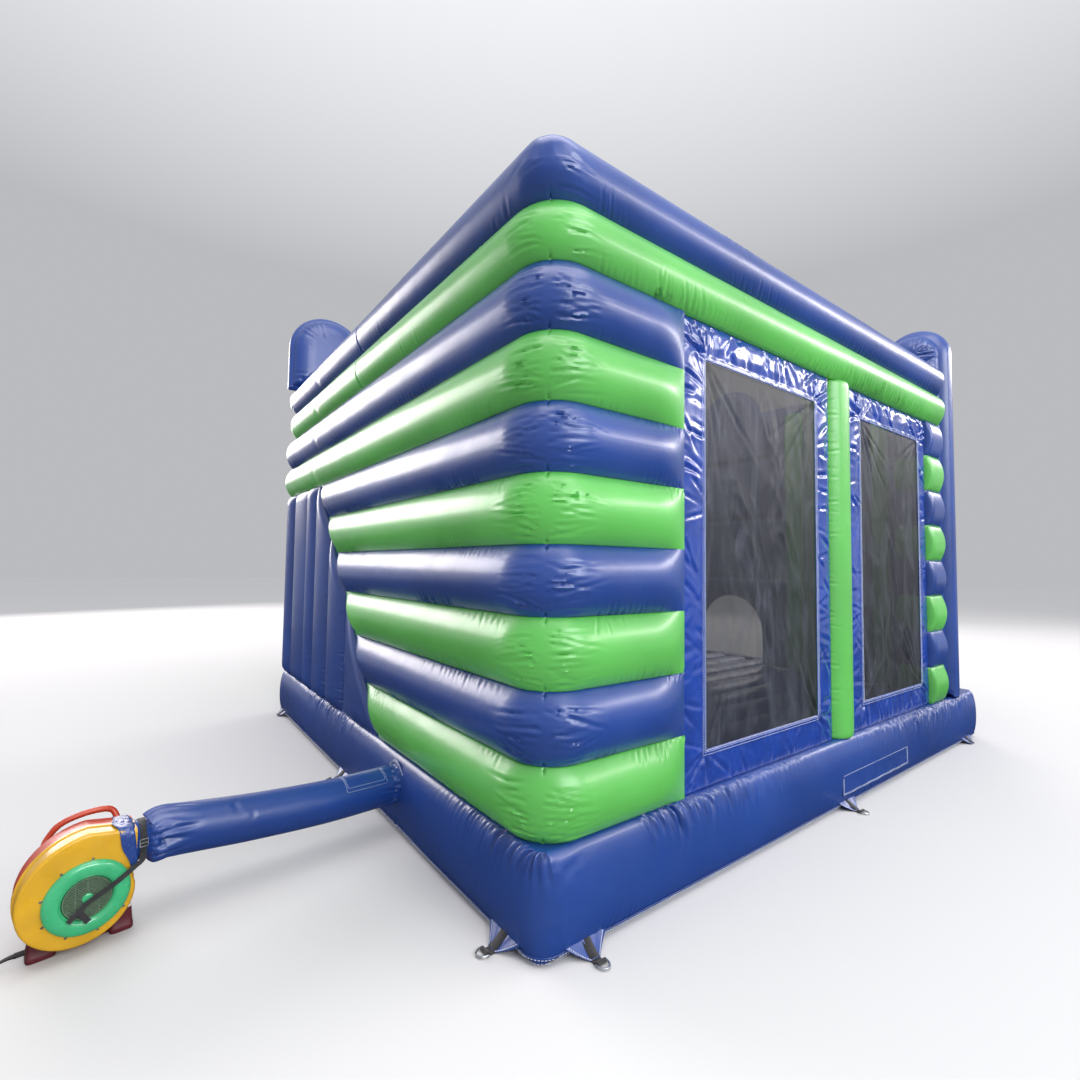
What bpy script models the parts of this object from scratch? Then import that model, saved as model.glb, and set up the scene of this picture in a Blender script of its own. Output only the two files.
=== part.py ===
"""Inflatable bounce house with a climbing ramp, a slide and its air blower.

Row frame, in metres: +Z up, the origin on the ground at the middle of the mattress.
-Y is the entrance front, +Y the back wall with the air tube, -X the side with the
netted windows and +X the slide side. Air-filled fabric is stood in for by solids.
"""
from math import cos, hypot, pi, radians, sin

import bmesh
import bpy
from mathutils import Matrix, Vector

# Driving dimensions of the house
WIDTH = 4.40  # along X
DEPTH = 5.00  # along Y
BASE_H = 0.42  # top of the mattress
BASE_BULGE = 0.045  # how far the mattress sides swell out
BASE_FLAT = (0.10, 0.34)  # heights between which a mattress side is upright
SKIN = 0.022  # wall around an air chamber
TUBE_PITCH = 0.2975  # height of one wall tube
LOWER_TUBES = 8  # wall tubes 3 to 10, counted from the top
TOP_TUBE_H = 0.26  # the two tubes of the top ring are lower
WALL = 0.22  # thickness of a tube wall
BULGE = 0.07  # how far a wall tube swells out between its seams
CORNER_R = 0.28  # rounding of the upright wall corners
GAP = 0.0003  # between pieces that touch

LEFT, RIGHT = -WIDTH / 2, WIDTH / 2
BACK, FRONT = DEPTH / 2, -DEPTH / 2
RING_BOTTOM = BASE_H + LOWER_TUBES * TUBE_PITCH
RING_TOP = RING_BOTTOM + 2 * TOP_TUBE_H
INNER_BACK = BACK - WALL
FOOT = BASE_H - 0.05  # below the foot of everything that stands on the mattress

# Window side, as distances from the back wall
CORNER_LEG = 0.86
REAR_WINDOW = (0.86, 2.37)
POST = (2.37, 2.67)
FRONT_WINDOW = (2.67, 4.05)
COLUMN = (4.05, 4.34)
REAR_MESH = (1.05, 2.18)
FRONT_MESH = (2.84, 3.88)
MESH_Z = (0.61, 2.60)
PANEL_T = 0.008
NET_T = 0.004

# Front
PILLAR_W = 0.52
PILLAR_OUT = 0.05  # how far the pillar stands out past the window side
PILLAR_T = 0.40
PILLAR_TOP = 3.77
PILLAR_Y = -2.04  # middle of the pillar's thickness
FACADE_Y = -2.05
FACADE_T = 0.26
FACADE_TOP = 3.35
ARCH_PANEL = (-0.85, 0.90)
DOOR_X = 0.02
DOOR_HALF = 0.42
DOOR_SPRING = 0.78
CROWN_R = 0.40
CROWN_Z = 3.30
EXIT_X = (1.17, 1.97)
EXIT_SPRING = 1.50

# Climbing ramp, platform and slide
RAMP_FOOT_X = -0.48
RAMP_TOP_X = 1.04
PLATFORM_Z = BASE_H + 6 * TUBE_PITCH
RAMP_T = 0.25
TOWER_Y = 0.95  # front edge of the ramp and the platform
PLATFORM_T = 0.42
DIVIDER = (0.99, 1.16)
SLIDE_END_Y = FACADE_Y + FACADE_T / 2 + GAP
SLIDE_FOOT = (-1.55, 0.70)
TOWER_SEAMS = (-0.48, 0.27, 0.69, 1.11, 1.39, 1.92, 2.20)  # upright seams along X

# Crown over the rear right corner
CROWN_Y = (1.80, 2.59)
CROWN_X = (1.97, 2.27)
CROWN_TOP = 4.16

# Deflation flap and its zip, on the window side
FLAP_Y = (-0.86, 0.16)
FLAP_Z = (0.095, 0.225)
FLAP_OFF = 0.014  # room for the zip slider behind the flap

# Anchors: a point on the foot of the mattress and the way out from it, in degrees
ANCHORS = {1: (-2.02, BACK, 90), 2: (LEFT, 2.30, 180), 3: (LEFT, 0.07, 180), 4: (0.07, BACK, 90)}
STRAP_W = 0.045
STRAP_L = 0.13
RING_WIRE = 0.004
RING_IN = 0.024  # half the inner width of a D-ring

# Blower, in its own frame: x along the shaft away from the intake, -y out of the outlet
BLOWER_AT = (-1.04, 3.90, 0.225)
BLOWER_YAW = radians(8)
SCROLL_R = (0.150, 0.235)  # scroll radius at the tongue and at the top
OUTLET_Y = -0.150
OUTLET_Z = (0.055, 0.207)  # foot and top of the mouth
COVER_X = (-0.105, -0.020)
HOUSING_X = (-0.0197, 0.070)
SHELL = 0.006
INTAKE_R = 0.118
RING_R = (0.0765, 0.135)
GRILLE_R = 0.076
DUCT_X = -0.0175
DUCT_Z = 0.131
NOZZLE_R = 0.072
TUBE_R = 0.100
MOTOR_R = 0.060
STAND_X = (-0.020, 0.085)

SWITCH_AT = (0.115, 0.0, 0.106)  # the rocker's pivot
SWITCH_TILT = radians(12)

# Air tube: its end on the mattress
ROOT = (-0.885, BACK + BASE_BULGE + 0.001, 0.270)

# Power cord: where it runs on the ground, and its coil
CORD_D = 0.009
CORD_ROUTE = (
    (-1.0674, 4.0937, 0.0450), (-1.0710, 4.1150, 0.0440), (-1.0760, 4.1400, 0.0370),
    (-1.0810, 4.1620, 0.0220), (-1.0840, 4.1830, 0.0090), (-1.0830, 4.2080, 0.0053),
    (-1.0740, 4.2350, 0.0053), (-1.0600, 4.2620, 0.0053), (-1.0450, 4.2900, 0.0053),
    (-1.0345, 4.3200, 0.0053), (-1.0315, 4.3500, 0.0053),
)
COIL_AT = (-1.095, 4.350)
COIL_R = 0.050  # to the middle of the turns
COIL_WIDE, COIL_HIGH = 2, 3  # turns
PLUG_SIZE = (0.034, 0.052, 0.030)

bpy.ops.object.select_all(action="DESELECT")
for old in list(bpy.data.objects):
    bpy.data.objects.remove(old, do_unlink=True)

parts = bpy.data.collections.new("bounce_house")
cutters = bpy.data.collections.new("cutters")
for collection in (parts, cutters):
    bpy.context.scene.collection.children.link(collection)


# ---------------------------------------------------------------- materials

def make_material(name, colour, roughness, metallic=0.0):
    material = bpy.data.materials.new(name)
    material.use_nodes = True
    shader = material.node_tree.nodes["Principled BSDF"]
    shader.inputs["Base Color"].default_value = (*colour, 1.0)
    shader.inputs["Roughness"].default_value = roughness
    shader.inputs["Metallic"].default_value = metallic
    material.diffuse_color = (*colour, 1.0)
    return material


BLUE = make_material("blue_vinyl", (0.03, 0.09, 0.42), 0.28)
GREEN = make_material("green_vinyl", (0.11, 0.62, 0.09), 0.30)
MESH = make_material("black_mesh", (0.03, 0.035, 0.04), 0.70)
WEBBING = make_material("black_webbing", (0.015, 0.015, 0.018), 0.80)
STEEL = make_material("zinc_steel", (0.55, 0.56, 0.58), 0.35, 1.0)
YELLOW = make_material("yellow_plastic", (0.80, 0.47, 0.03), 0.35)
MINT = make_material("mint_plastic", (0.09, 0.58, 0.25), 0.30)
RED = make_material("red_plastic", (0.58, 0.05, 0.02), 0.35)
MAROON = make_material("maroon_plastic", (0.09, 0.012, 0.02), 0.45)
DARK = make_material("dark_plastic", (0.02, 0.02, 0.022), 0.50)
ALLOY = make_material("grey_alloy", (0.45, 0.46, 0.48), 0.40, 1.0)


# ---------------------------------------------------------------- helpers

def add_object(name, mesh, material, parent=None, collection=parts):
    """An object that shows the mesh, in the part's collection."""
    thing = bpy.data.objects.new(name, mesh)
    collection.objects.link(thing)
    thing.parent = parent
    if material:
        mesh.materials.clear()
        mesh.materials.append(material)
    return thing


def mend(mesh):
    """Welds a mesh made from a curve and turns its faces outwards."""
    edit = bmesh.new()
    edit.from_mesh(mesh)
    bmesh.ops.remove_doubles(edit, verts=edit.verts, dist=0.00001)
    bmesh.ops.recalc_face_normals(edit, faces=edit.faces)
    edit.to_mesh(mesh)
    edit.free()
    return mesh


def mesh_of(curve, *guides):
    """The curve as a welded mesh; the curve and its guides are removed."""
    holder = bpy.data.objects.new("holder", curve)
    bpy.context.scene.collection.objects.link(holder)
    bpy.context.view_layer.update()
    evaluated = holder.evaluated_get(bpy.context.evaluated_depsgraph_get())
    mesh = bpy.data.meshes.new_from_object(evaluated)
    for thing in (holder, *guides):
        bpy.data.objects.remove(thing, do_unlink=True)
    return mend(mesh)


def add_loop(curve, points, closed=True):
    spline = curve.splines.new("POLY")
    spline.points.add(len(points) - 1)
    for target, point in zip(spline.points, points):
        target.co = (*point, 0.0, 1.0) if len(point) == 2 else (*point, 1.0)
    spline.use_cyclic_u = closed
    return spline


def outline_mesh(loops, depth):
    """A flat outline, with holes after its first loop, as thick as depth."""
    curve = bpy.data.curves.new("outline", "CURVE")
    curve.dimensions = "2D"
    curve.fill_mode = "BOTH"
    curve.extrude = depth / 2
    for loop in loops:
        add_loop(curve, loop)
    return mesh_of(curve)


PLANES = {"XY": (0, 0, 0), "XZ": (pi / 2, 0, 0), "YZ": (pi / 2, 0, pi / 2)}


def plate(name, loops, depth, plane, middle, material, parent=None):
    """An outline drawn in a plane of the row frame; middle is its place across that plane."""
    thing = add_object(name, outline_mesh(loops, depth), material, parent)
    thing.rotation_euler = PLANES[plane]
    thing.location["XYZ".index(({"X", "Y", "Z"} - set(plane)).pop())] = middle
    return thing


def box(name, low, high, material, parent=None, collection=parts):
    """A box between two corners."""
    mesh = bpy.data.meshes.new(name)
    edit = bmesh.new()
    bmesh.ops.create_cube(edit, size=1.0)
    bmesh.ops.scale(edit, vec=[b - a for a, b in zip(low, high)], verts=edit.verts)
    edit.to_mesh(mesh)
    edit.free()
    thing = add_object(name, mesh, material, parent, collection)
    thing.location = [(a + b) / 2 for a, b in zip(low, high)]
    return thing


def rod(name, radius, start, end, material, parent=None, sides=24, collection=parts):
    """A round bar between two points."""
    mesh = bpy.data.meshes.new(name)
    edit = bmesh.new()
    way = Vector(end) - Vector(start)
    bmesh.ops.create_cone(edit, cap_ends=True, segments=sides, radius1=radius,
                          radius2=radius, depth=way.length)
    edit.to_mesh(mesh)
    edit.free()
    thing = add_object(name, mesh, material, parent, collection)
    thing.location = (Vector(start) + Vector(end)) / 2
    thing.rotation_euler = way.to_track_quat("Z", "Y").to_euler()
    return thing


def bent_tube(name, points, radius, material, parent=None, sides=2, closed=False, radii=None):
    """A round tube along points, with its ends filled."""
    curve = bpy.data.curves.new(name, "CURVE")
    curve.dimensions = "3D"
    curve.bevel_depth = radius
    curve.bevel_resolution = sides
    curve.use_fill_caps = not closed
    spline = add_loop(curve, points, closed)
    for target, share in zip(spline.points, radii or ()):
        target.radius = share
    return add_object(name, mesh_of(curve), material, parent)


def turned(name, profile, material, parent=None, steps=32):
    """A profile of (radius, height) points, top to bottom down its outer side, turned about Z."""
    mesh = bpy.data.meshes.new(name)
    edit = bmesh.new()
    corners = [edit.verts.new((r, 0, z)) for r, z in profile]
    for a, b in zip(corners, corners[1:] + corners[:1]):
        edit.edges.new((a, b))
    edit.to_mesh(mesh)
    edit.free()
    thing = add_object(name, mesh, material, parent)
    screw = thing.modifiers.new("turn", "SCREW")
    screw.steps = screw.render_steps = steps
    screw.use_merge_vertices = True
    screw.merge_threshold = 0.0001
    return thing


def boolean(thing, tool, operation="DIFFERENCE"):
    """Cuts or joins another object; the tool moves to the cutters and is hidden."""
    for owner in list(tool.users_collection):
        owner.objects.unlink(tool)
    cutters.objects.link(tool)
    tool.hide_render = True
    tool.display_type = "WIRE"
    modifier = thing.modifiers.new(operation.lower(), "BOOLEAN")
    modifier.operation = operation
    modifier.object = tool
    return thing


def soften(thing, width, segments=2):
    """Rounds the sharp edges."""
    modifier = thing.modifiers.new("edges", "BEVEL")
    modifier.width = width
    modifier.segments = segments
    return thing


def hollow(thing, *chambers):
    """Cuts boxes of air out of a piece; they are open at its foot, where it stands."""
    for number, (low, high) in enumerate(chambers):
        boolean(thing, box(f"{thing.name}_chamber_{number}", low, high, None))
    return thing


def stand_on_mattress(thing):
    """Cuts off what is below the top of the mattress."""
    boolean(thing, box(f"{thing.name}_below", (-3, -3, BASE_H - 0.2), (3, 3, BASE_H + GAP), None))


def keep_side(thing, point, inward):
    """Cuts the object along a plane and keeps the side that inward points to."""
    bpy.context.view_layer.update()
    back = thing.matrix_world.inverted()
    edit = bmesh.new()
    edit.from_mesh(thing.data)
    everything = list(edit.verts) + list(edit.edges) + list(edit.faces)
    normal = (back.to_3x3() @ Vector(inward)).normalized()
    bmesh.ops.bisect_plane(edit, geom=everything, dist=0.000001, plane_co=back @ Vector(point),
                           plane_no=normal, clear_inner=True)
    bmesh.ops.holes_fill(edit, edges=[e for e in edit.edges if e.is_boundary], sides=0)
    bmesh.ops.triangulate(edit, faces=[f for f in edit.faces if len(f.verts) > 4])
    bmesh.ops.recalc_face_normals(edit, faces=edit.faces)
    edit.to_mesh(thing.data)
    edit.free()
    return thing


def arc(centre, radius, start, end, steps):
    """Points along a circle, from one angle to another, in degrees."""
    angles = [radians(start + (end - start) * i / steps) for i in range(steps + 1)]
    return [(centre[0] + radius * cos(a), centre[1] + radius * sin(a)) for a in angles]


# ---------------------------------------------------------------- the mattress

def make_base():
    """A mattress with swollen sides and a hollow air chamber, open at the air tube."""
    base = box("base_mattress", (LEFT, FRONT, 0), (RIGHT, BACK, BASE_H), BLUE)
    edit = bmesh.new()
    edit.from_mesh(base.data)
    for height in BASE_FLAT:
        everything = list(edit.verts) + list(edit.edges) + list(edit.faces)
        level = (0, 0, height - BASE_H / 2)
        bmesh.ops.bisect_plane(edit, geom=everything, plane_co=level, plane_no=(0, 0, 1))
    for corner in edit.verts:
        if abs(corner.co.z) < BASE_H / 2 - 0.01:
            corner.co.x += BASE_BULGE if corner.co.x > 0 else -BASE_BULGE
            corner.co.y += BASE_BULGE if corner.co.y > 0 else -BASE_BULGE
    edit.to_mesh(base.data)
    edit.free()
    inlet = rod("air_inlet", TUBE_R - 0.012, (ROOT[0], BACK - 2 * SKIN, ROOT[2]),
                (ROOT[0], BACK + 0.1, ROOT[2]), None, sides=16)
    hollow(base, ((LEFT + SKIN, FRONT + SKIN, SKIN), (RIGHT - SKIN, BACK - SKIN, BASE_H - SKIN)))
    boolean(base, inlet)


# ---------------------------------------------------------------- tube walls

def tube_section(height, steps=4):
    """The outline across a wall tube: flat inside, swollen outside."""
    low, high = GAP / 2, height - GAP / 2
    outer = [(BULGE * sin(pi * i / steps), low + (high - low) * i / steps) for i in range(steps + 1)]
    return outer + [(-WALL, high), (-WALL, low)]


def swept(name, path, section, height, material):
    """A section carried along a path in plan, its outer side to the right of the path."""
    profile_curve = bpy.data.curves.new("section", "CURVE")
    profile_curve.dimensions = "2D"
    add_loop(profile_curve, section)
    profile = bpy.data.objects.new("section", profile_curve)
    bpy.context.scene.collection.objects.link(profile)
    rail = bpy.data.curves.new(name, "CURVE")
    rail.dimensions = "2D"
    rail.bevel_mode = "OBJECT"
    rail.bevel_object = profile
    rail.use_fill_caps = True
    add_loop(rail, path, closed=False)
    thing = add_object(name, mesh_of(rail, profile), material)
    thing.location.z = height
    return thing


def corner_path(x, past):
    """The rounded corner at x on the back wall, met along the back wall's outer face."""
    side = 1 if x > 0 else -1
    centre = (x - side * CORNER_R, BACK - CORNER_R)
    turn = arc(centre, CORNER_R, 90, 90 - side * past, 5)
    return turn


MITRE_LEFT = ((LEFT, BACK, 0), (1, 1, 0))
MITRE_RIGHT = ((RIGHT, BACK, 0), (-1, 1, 0))


def off_mitre(mitre, share):
    """The mitre plane moved half a gap to one side, and the way into the piece."""
    inward = Vector(mitre[1]).normalized() * share
    return Vector(mitre[0]) + inward * GAP / 2, inward


def make_back_tube(name, height, tall, right_end, material, wraps_right=False):
    """A tube along the back wall, from its right end to the mitred corner at the left."""
    far = list(reversed(corner_path(RIGHT, 60))) if wraps_right else [(right_end, BACK)]
    near = corner_path(LEFT, 60)
    tube = swept(name, far + near, tube_section(tall), height, material)
    keep_side(tube, *off_mitre(MITRE_LEFT, 1))
    if wraps_right:
        keep_side(tube, *off_mitre(MITRE_RIGHT, 1))
    return tube


def make_side_tube(name, x, front_y, height, tall, material):
    """A tube along one side, from the back corner's mitre to front_y."""
    run = [p for p in arc((x + (CORNER_R if x < 0 else -CORNER_R), BACK - CORNER_R), CORNER_R,
                          *((120, 180) if x < 0 else (60, 0)), 5)] + [(x, front_y)]
    if x > 0:
        run.reverse()
    tube = swept(name, run, tube_section(tall), height, material)
    keep_side(tube, *off_mitre(MITRE_LEFT if x < 0 else MITRE_RIGHT, -1))
    return tube


def ramp_x(z):
    """Where the ramp's upper face is at height z."""
    return RAMP_FOOT_X + (z - BASE_H) * (RAMP_TOP_X - RAMP_FOOT_X) / (PLATFORM_Z - BASE_H)


RAMP_WAY = Vector((RAMP_TOP_X - RAMP_FOOT_X, 0, PLATFORM_Z - BASE_H)).normalized()
RAMP_UP = Vector((-RAMP_WAY.z, 0, RAMP_WAY.x))


def make_back_wall():
    """Tubes 3 to 10; the lower six end on the slope of the climbing ramp's tower."""
    for number in range(3, 11):
        floor = RING_BOTTOM - (number - 2) * TUBE_PITCH
        green = number % 2 == 0
        name = f"back_tube_{number}_{'green' if green else 'blue'}"
        above_ramp = floor > PLATFORM_Z - 0.01
        end = RIGHT if above_ramp else ramp_x(floor + TUBE_PITCH) + 0.2
        tube = make_back_tube(name, floor, TUBE_PITCH, end, GREEN if green else BLUE)
        if not above_ramp:
            keep_side(tube, Vector((RAMP_FOOT_X, 0, BASE_H)) + RAMP_UP * GAP, RAMP_UP)


def make_top_ring():
    """Two tubes round the top of three sides, mitred at the back corners."""
    for number, colour, material in ((1, "blue", BLUE), (2, "green", GREEN)):
        floor = RING_TOP - number * TOP_TUBE_H
        end = BACK - COLUMN[1] + GAP
        make_side_tube(f"top_tube_{colour}_window_side", LEFT, end, floor, TOP_TUBE_H, material)
        make_back_tube(f"top_tube_{colour}_back", floor, TOP_TUBE_H, RIGHT, material, True)
        make_side_tube(f"top_tube_{colour}_slide_side", RIGHT, SLIDE_END_Y, floor, TOP_TUBE_H,
                       material)


def stacked_section():
    """The outline across all the lower tubes of a wall at once."""
    outer = []
    for number in range(LOWER_TUBES):
        floor = number * TUBE_PITCH
        for step in range(4):
            outer.append((BULGE * sin(pi * step / 4) + 0.001, floor + TUBE_PITCH * step / 4))
    top = LOWER_TUBES * TUBE_PITCH - GAP / 2
    return [(x, max(z, GAP / 2)) for x, z in outer] + [(0.001, top), (-WALL, top), (-WALL, GAP / 2)]


def make_window_side():
    """The banded corner panel, two window panels with their nets, the post and the column."""
    run = arc((LEFT + CORNER_R, BACK - CORNER_R), CORNER_R, 120, 180, 5) + [(LEFT, BACK - CORNER_LEG)]
    corner = swept("corner_panel_window_side", run, stacked_section(), BASE_H, BLUE)
    keep_side(corner, *off_mitre(MITRE_LEFT, -1))
    low, high = BASE_H + GAP, RING_BOTTOM - GAP
    panels = (("rear", REAR_WINDOW, REAR_MESH), ("front", FRONT_WINDOW, FRONT_MESH))
    for name, (near, far), (mesh_near, mesh_far) in panels:
        near_y, far_y = BACK - near - GAP, BACK - far + GAP
        rim = [(far_y, low), (near_y, low), (near_y, high), (far_y, high)]
        hole = [(BACK - mesh_far, MESH_Z[0]), (BACK - mesh_near, MESH_Z[0]),
                (BACK - mesh_near, MESH_Z[1]), (BACK - mesh_far, MESH_Z[1])]
        plate(f"{name}_window_panel", [rim, hole], PANEL_T, "YZ", LEFT + 0.02, BLUE)
        box(f"{name}_window_net",
            (LEFT + 0.02 - NET_T / 2, BACK - mesh_far + GAP, MESH_Z[0] + GAP),
            (LEFT + 0.02 + NET_T / 2, BACK - mesh_near - GAP, MESH_Z[1] - GAP), MESH)
    half = (POST[1] - POST[0]) / 2 - GAP
    middle = BACK - (POST[0] + POST[1]) / 2
    section = [(LEFT + 0.10 + 0.16 * cos(a), middle + half * sin(a))
               for a in (2 * pi * i / 16 for i in range(16))]
    post = plate("window_post", [section], high - low, "XY", (low + high) / 2, GREEN)
    post.modifiers.new("edges", "BEVEL").width = 0.01
    run = [(LEFT, BACK - COLUMN[0] - GAP), (LEFT, BACK - COLUMN[1] + GAP)]
    swept("front_banded_column", run, stacked_section(), BASE_H, BLUE)


def make_tower_panel():
    """The back of the climbing tower: upright tubes under the ramp's slope."""
    outline = []
    for left, right in zip(TOWER_SEAMS, TOWER_SEAMS[1:]):
        swell = BULGE * 0.9 if left > TOWER_SEAMS[0] else 0.02
        for step in range(4):
            outline.append((left + (right - left) * step / 4, BACK + swell * sin(pi * step / 4)))
    outline += [(RIGHT, BACK), (RIGHT, INNER_BACK), (TOWER_SEAMS[0], INNER_BACK)]
    low, high = BASE_H + GAP, PLATFORM_Z - GAP
    panel = plate("tower_back_panel", [outline], high - low, "XY", (low + high) / 2, BLUE)
    keep_side(panel, Vector((RAMP_FOOT_X, 0, BASE_H)) - RAMP_UP * GAP, -RAMP_UP)
    hollow(panel, ((RAMP_TOP_X, INNER_BACK + SKIN, FOOT), (RIGHT - SKIN, BACK, PLATFORM_Z - SKIN)),
           ((RAMP_FOOT_X + 0.5, INNER_BACK + SKIN, FOOT), (RAMP_TOP_X, BACK, BASE_H + 0.5)))


# ---------------------------------------------------------------- front

def tombstone(left, right, low, top, steps=10):
    """An upright outline with a round top."""
    radius = (right - left) / 2
    return [(left, low), (right, low)] + arc(((left + right) / 2, top - radius), radius, 0, 180, steps)


def make_front():
    """A round-topped corner pillar, a plain panel, the entrance arch and the slide's arch."""
    low, pillar_right = FOOT, LEFT + PILLAR_W
    front, back = FACADE_Y - FACADE_T / 2 + SKIN, FACADE_Y + FACADE_T / 2 - SKIN
    pillar_left = LEFT - PILLAR_OUT
    pillar = [tombstone(pillar_left, pillar_right, low, PILLAR_TOP)]
    pillar = soften(plate("front_left_pillar", pillar, PILLAR_T, "XZ", PILLAR_Y, BLUE), 0.05)
    hollow(pillar, ((pillar_left + SKIN, PILLAR_Y - PILLAR_T / 2 + SKIN, FOOT - 0.01),
                    (pillar_right - SKIN, PILLAR_Y + PILLAR_T / 2 - SKIN, PILLAR_TOP - 0.60)))
    stand_on_mattress(pillar)
    panel = [(pillar_right + GAP, low), (ARCH_PANEL[0] - GAP, low),
             (ARCH_PANEL[0] - GAP, FACADE_TOP), (pillar_right + GAP, FACADE_TOP)]
    panel = soften(plate("facade_left_panel", [panel], FACADE_T, "XZ", FACADE_Y, BLUE), 0.04)
    hollow(panel, ((pillar_right + SKIN, front, FOOT - 0.01),
                   (ARCH_PANEL[0] - SKIN, back, FACADE_TOP - 0.06)))
    stand_on_mattress(panel)
    crown = arc((DOOR_X, CROWN_Z), CROWN_R, 8, 172, 8)
    door = arc((DOOR_X, DOOR_SPRING), DOOR_HALF, 180, 0, 8)
    arch = [(ARCH_PANEL[1], low), (ARCH_PANEL[1], FACADE_TOP)] + crown + [
        (ARCH_PANEL[0], FACADE_TOP), (ARCH_PANEL[0], low), (DOOR_X - DOOR_HALF, low)
    ] + door + [(DOOR_X + DOOR_HALF, low)]
    arch = soften(plate("entrance_arch", [arch], FACADE_T, "XZ", FACADE_Y, BLUE), 0.04)
    inside = FACADE_TOP - 0.06
    under = FOOT - 0.01
    hollow(arch, ((ARCH_PANEL[0] + SKIN, front, under), (DOOR_X - DOOR_HALF - SKIN, back, inside)),
           ((DOOR_X + DOOR_HALF + SKIN, front, under), (ARCH_PANEL[1] - SKIN, back, inside)),
           ((DOOR_X - DOOR_HALF - 0.04, front, DOOR_SPRING + DOOR_HALF + SKIN),
            (DOOR_X + DOOR_HALF + 0.04, back, inside)))
    stand_on_mattress(arch)
    left, low = ARCH_PANEL[1] + GAP, BASE_H + GAP
    middle, radius = sum(EXIT_X) / 2, (EXIT_X[1] - EXIT_X[0]) / 2
    head_r = 0.56
    head = arc(((left + RIGHT) / 2, PILLAR_TOP - head_r), head_r, 7, 173, 10)
    hole = arc((middle, EXIT_SPRING), radius, 180, 0, 8)
    shoulder = PILLAR_TOP - head_r
    arch = [(RIGHT, low), (RIGHT, shoulder)] + head + [
        (left, shoulder), (left, low), (EXIT_X[0], low)
    ] + hole + [(EXIT_X[1], low)]
    arch = soften(plate("slide_exit_arch", [arch], FACADE_T, "XZ", FACADE_Y, BLUE), 0.04)
    hollow(arch, ((left + SKIN, front, under), (EXIT_X[0] - SKIN, back, shoulder - SKIN)),
           ((EXIT_X[0] - 0.04, front, EXIT_SPRING + radius + SKIN),
            (RIGHT - SKIN, back, shoulder - SKIN)))


# ---------------------------------------------------------------- ramp and slide

def make_ramp():
    """An inclined slab with five rounded climbing steps across it."""
    foot = Vector((RAMP_FOOT_X, 0, BASE_H + GAP))
    length = hypot(RAMP_TOP_X - RAMP_FOOT_X, PLATFORM_Z - BASE_H)
    down = RAMP_T / RAMP_WAY.z
    face = [(RAMP_FOOT_X + down, BASE_H + GAP), (RAMP_FOOT_X, BASE_H + GAP)]
    for number in range(5):
        start = foot + RAMP_WAY * (length * (number + 0.55) / 5.4)
        for along, proud in ((0, 0), (0.02, 0.07), (0.09, 0.09), (0.13, 0)):
            point = start + RAMP_WAY * along + RAMP_UP * proud
            face.append((point.x, point.z))
    end = RAMP_TOP_X - GAP
    face += [(end, PLATFORM_Z - GAP), (end, PLATFORM_Z - RAMP_T / RAMP_WAY.x)]
    width = INNER_BACK - GAP - TOWER_Y
    plate("climb_ramp", [face], width, "XZ", TOWER_Y + width / 2, GREEN)


def make_slide():
    """The platform, the slide bed, the wall beside it and the outer side wall."""
    inner, outer = DIVIDER[1] + GAP, RIGHT - WALL - GAP
    soften(box("platform", (RAMP_TOP_X, TOWER_Y, PLATFORM_Z - PLATFORM_T),
               (outer, INNER_BACK - GAP, PLATFORM_Z), BLUE), 0.02)
    top, foot = (TOWER_Y - GAP, PLATFORM_Z), SLIDE_FOOT
    bed = [top, foot, (SLIDE_END_Y, BASE_H + 0.16), (SLIDE_END_Y, BASE_H + GAP),
           (foot[0] + 0.25, BASE_H + GAP), (TOWER_Y - GAP, PLATFORM_Z - 0.30)]
    plate("slide_bed", [bed], outer - inner, "YZ", (inner + outer) / 2, GREEN)
    low, under = BASE_H + GAP, PLATFORM_Z - PLATFORM_T - 0.06
    wall = [(INNER_BACK - GAP, low), (INNER_BACK - GAP, under), (TOWER_Y - GAP, under),
            (TOWER_Y - GAP, 2.95), (0.60, 2.95), (SLIDE_END_Y, 1.45), (SLIDE_END_Y, low)]
    wall = plate("divider_wall", [wall], DIVIDER[1] - DIVIDER[0], "YZ", sum(DIVIDER) / 2, BLUE)
    left, right = DIVIDER[0] + SKIN, DIVIDER[1] - SKIN
    hollow(wall, ((left, SLIDE_END_Y + SKIN, FOOT), (right, INNER_BACK - 2 * SKIN, 1.40)),
           ((left, -0.35, FOOT), (right, TOWER_Y - 2 * SKIN, 2.30)))
    run = [(RIGHT, SLIDE_END_Y), (RIGHT, INNER_BACK - GAP)]
    wall = swept("slide_side_wall", run, stacked_section(), BASE_H, BLUE)
    hollow(wall, ((RIGHT - WALL + SKIN, SLIDE_END_Y + SKIN, FOOT),
                  (RIGHT - SKIN, INNER_BACK - 2 * SKIN, RING_BOTTOM - SKIN)))
    crown = [tombstone(*CROWN_Y, RING_TOP + GAP, CROWN_TOP)]
    crown = plate("rear_right_crown", crown, CROWN_X[1] - CROWN_X[0], "YZ", sum(CROWN_X) / 2, BLUE)
    soften(crown, 0.06)


# ---------------------------------------------------------------- deflation flap

def make_flap():
    """A flap hinged along its top edge over the deflation zip, and the zip's slider."""
    face = LEFT - BASE_BULGE
    hinge = bpy.data.objects.new("flap_hinge", None)
    parts.objects.link(hinge)
    hinge.location = (face - FLAP_OFF, sum(FLAP_Y) / 2, FLAP_Z[1])
    half = (FLAP_Y[1] - FLAP_Y[0]) / 2
    box("deflation_flap", (-0.003, -half, FLAP_Z[0] - FLAP_Z[1]), (0.003, half, 0), BLUE, hinge)
    slider_y = FLAP_Y[1] - 0.045
    box("zip_slider", (face - 0.009, slider_y - 0.016, 0.148), (face - 0.001, slider_y + 0.016, 0.172),
        STEEL)


# ---------------------------------------------------------------- anchors

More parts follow.
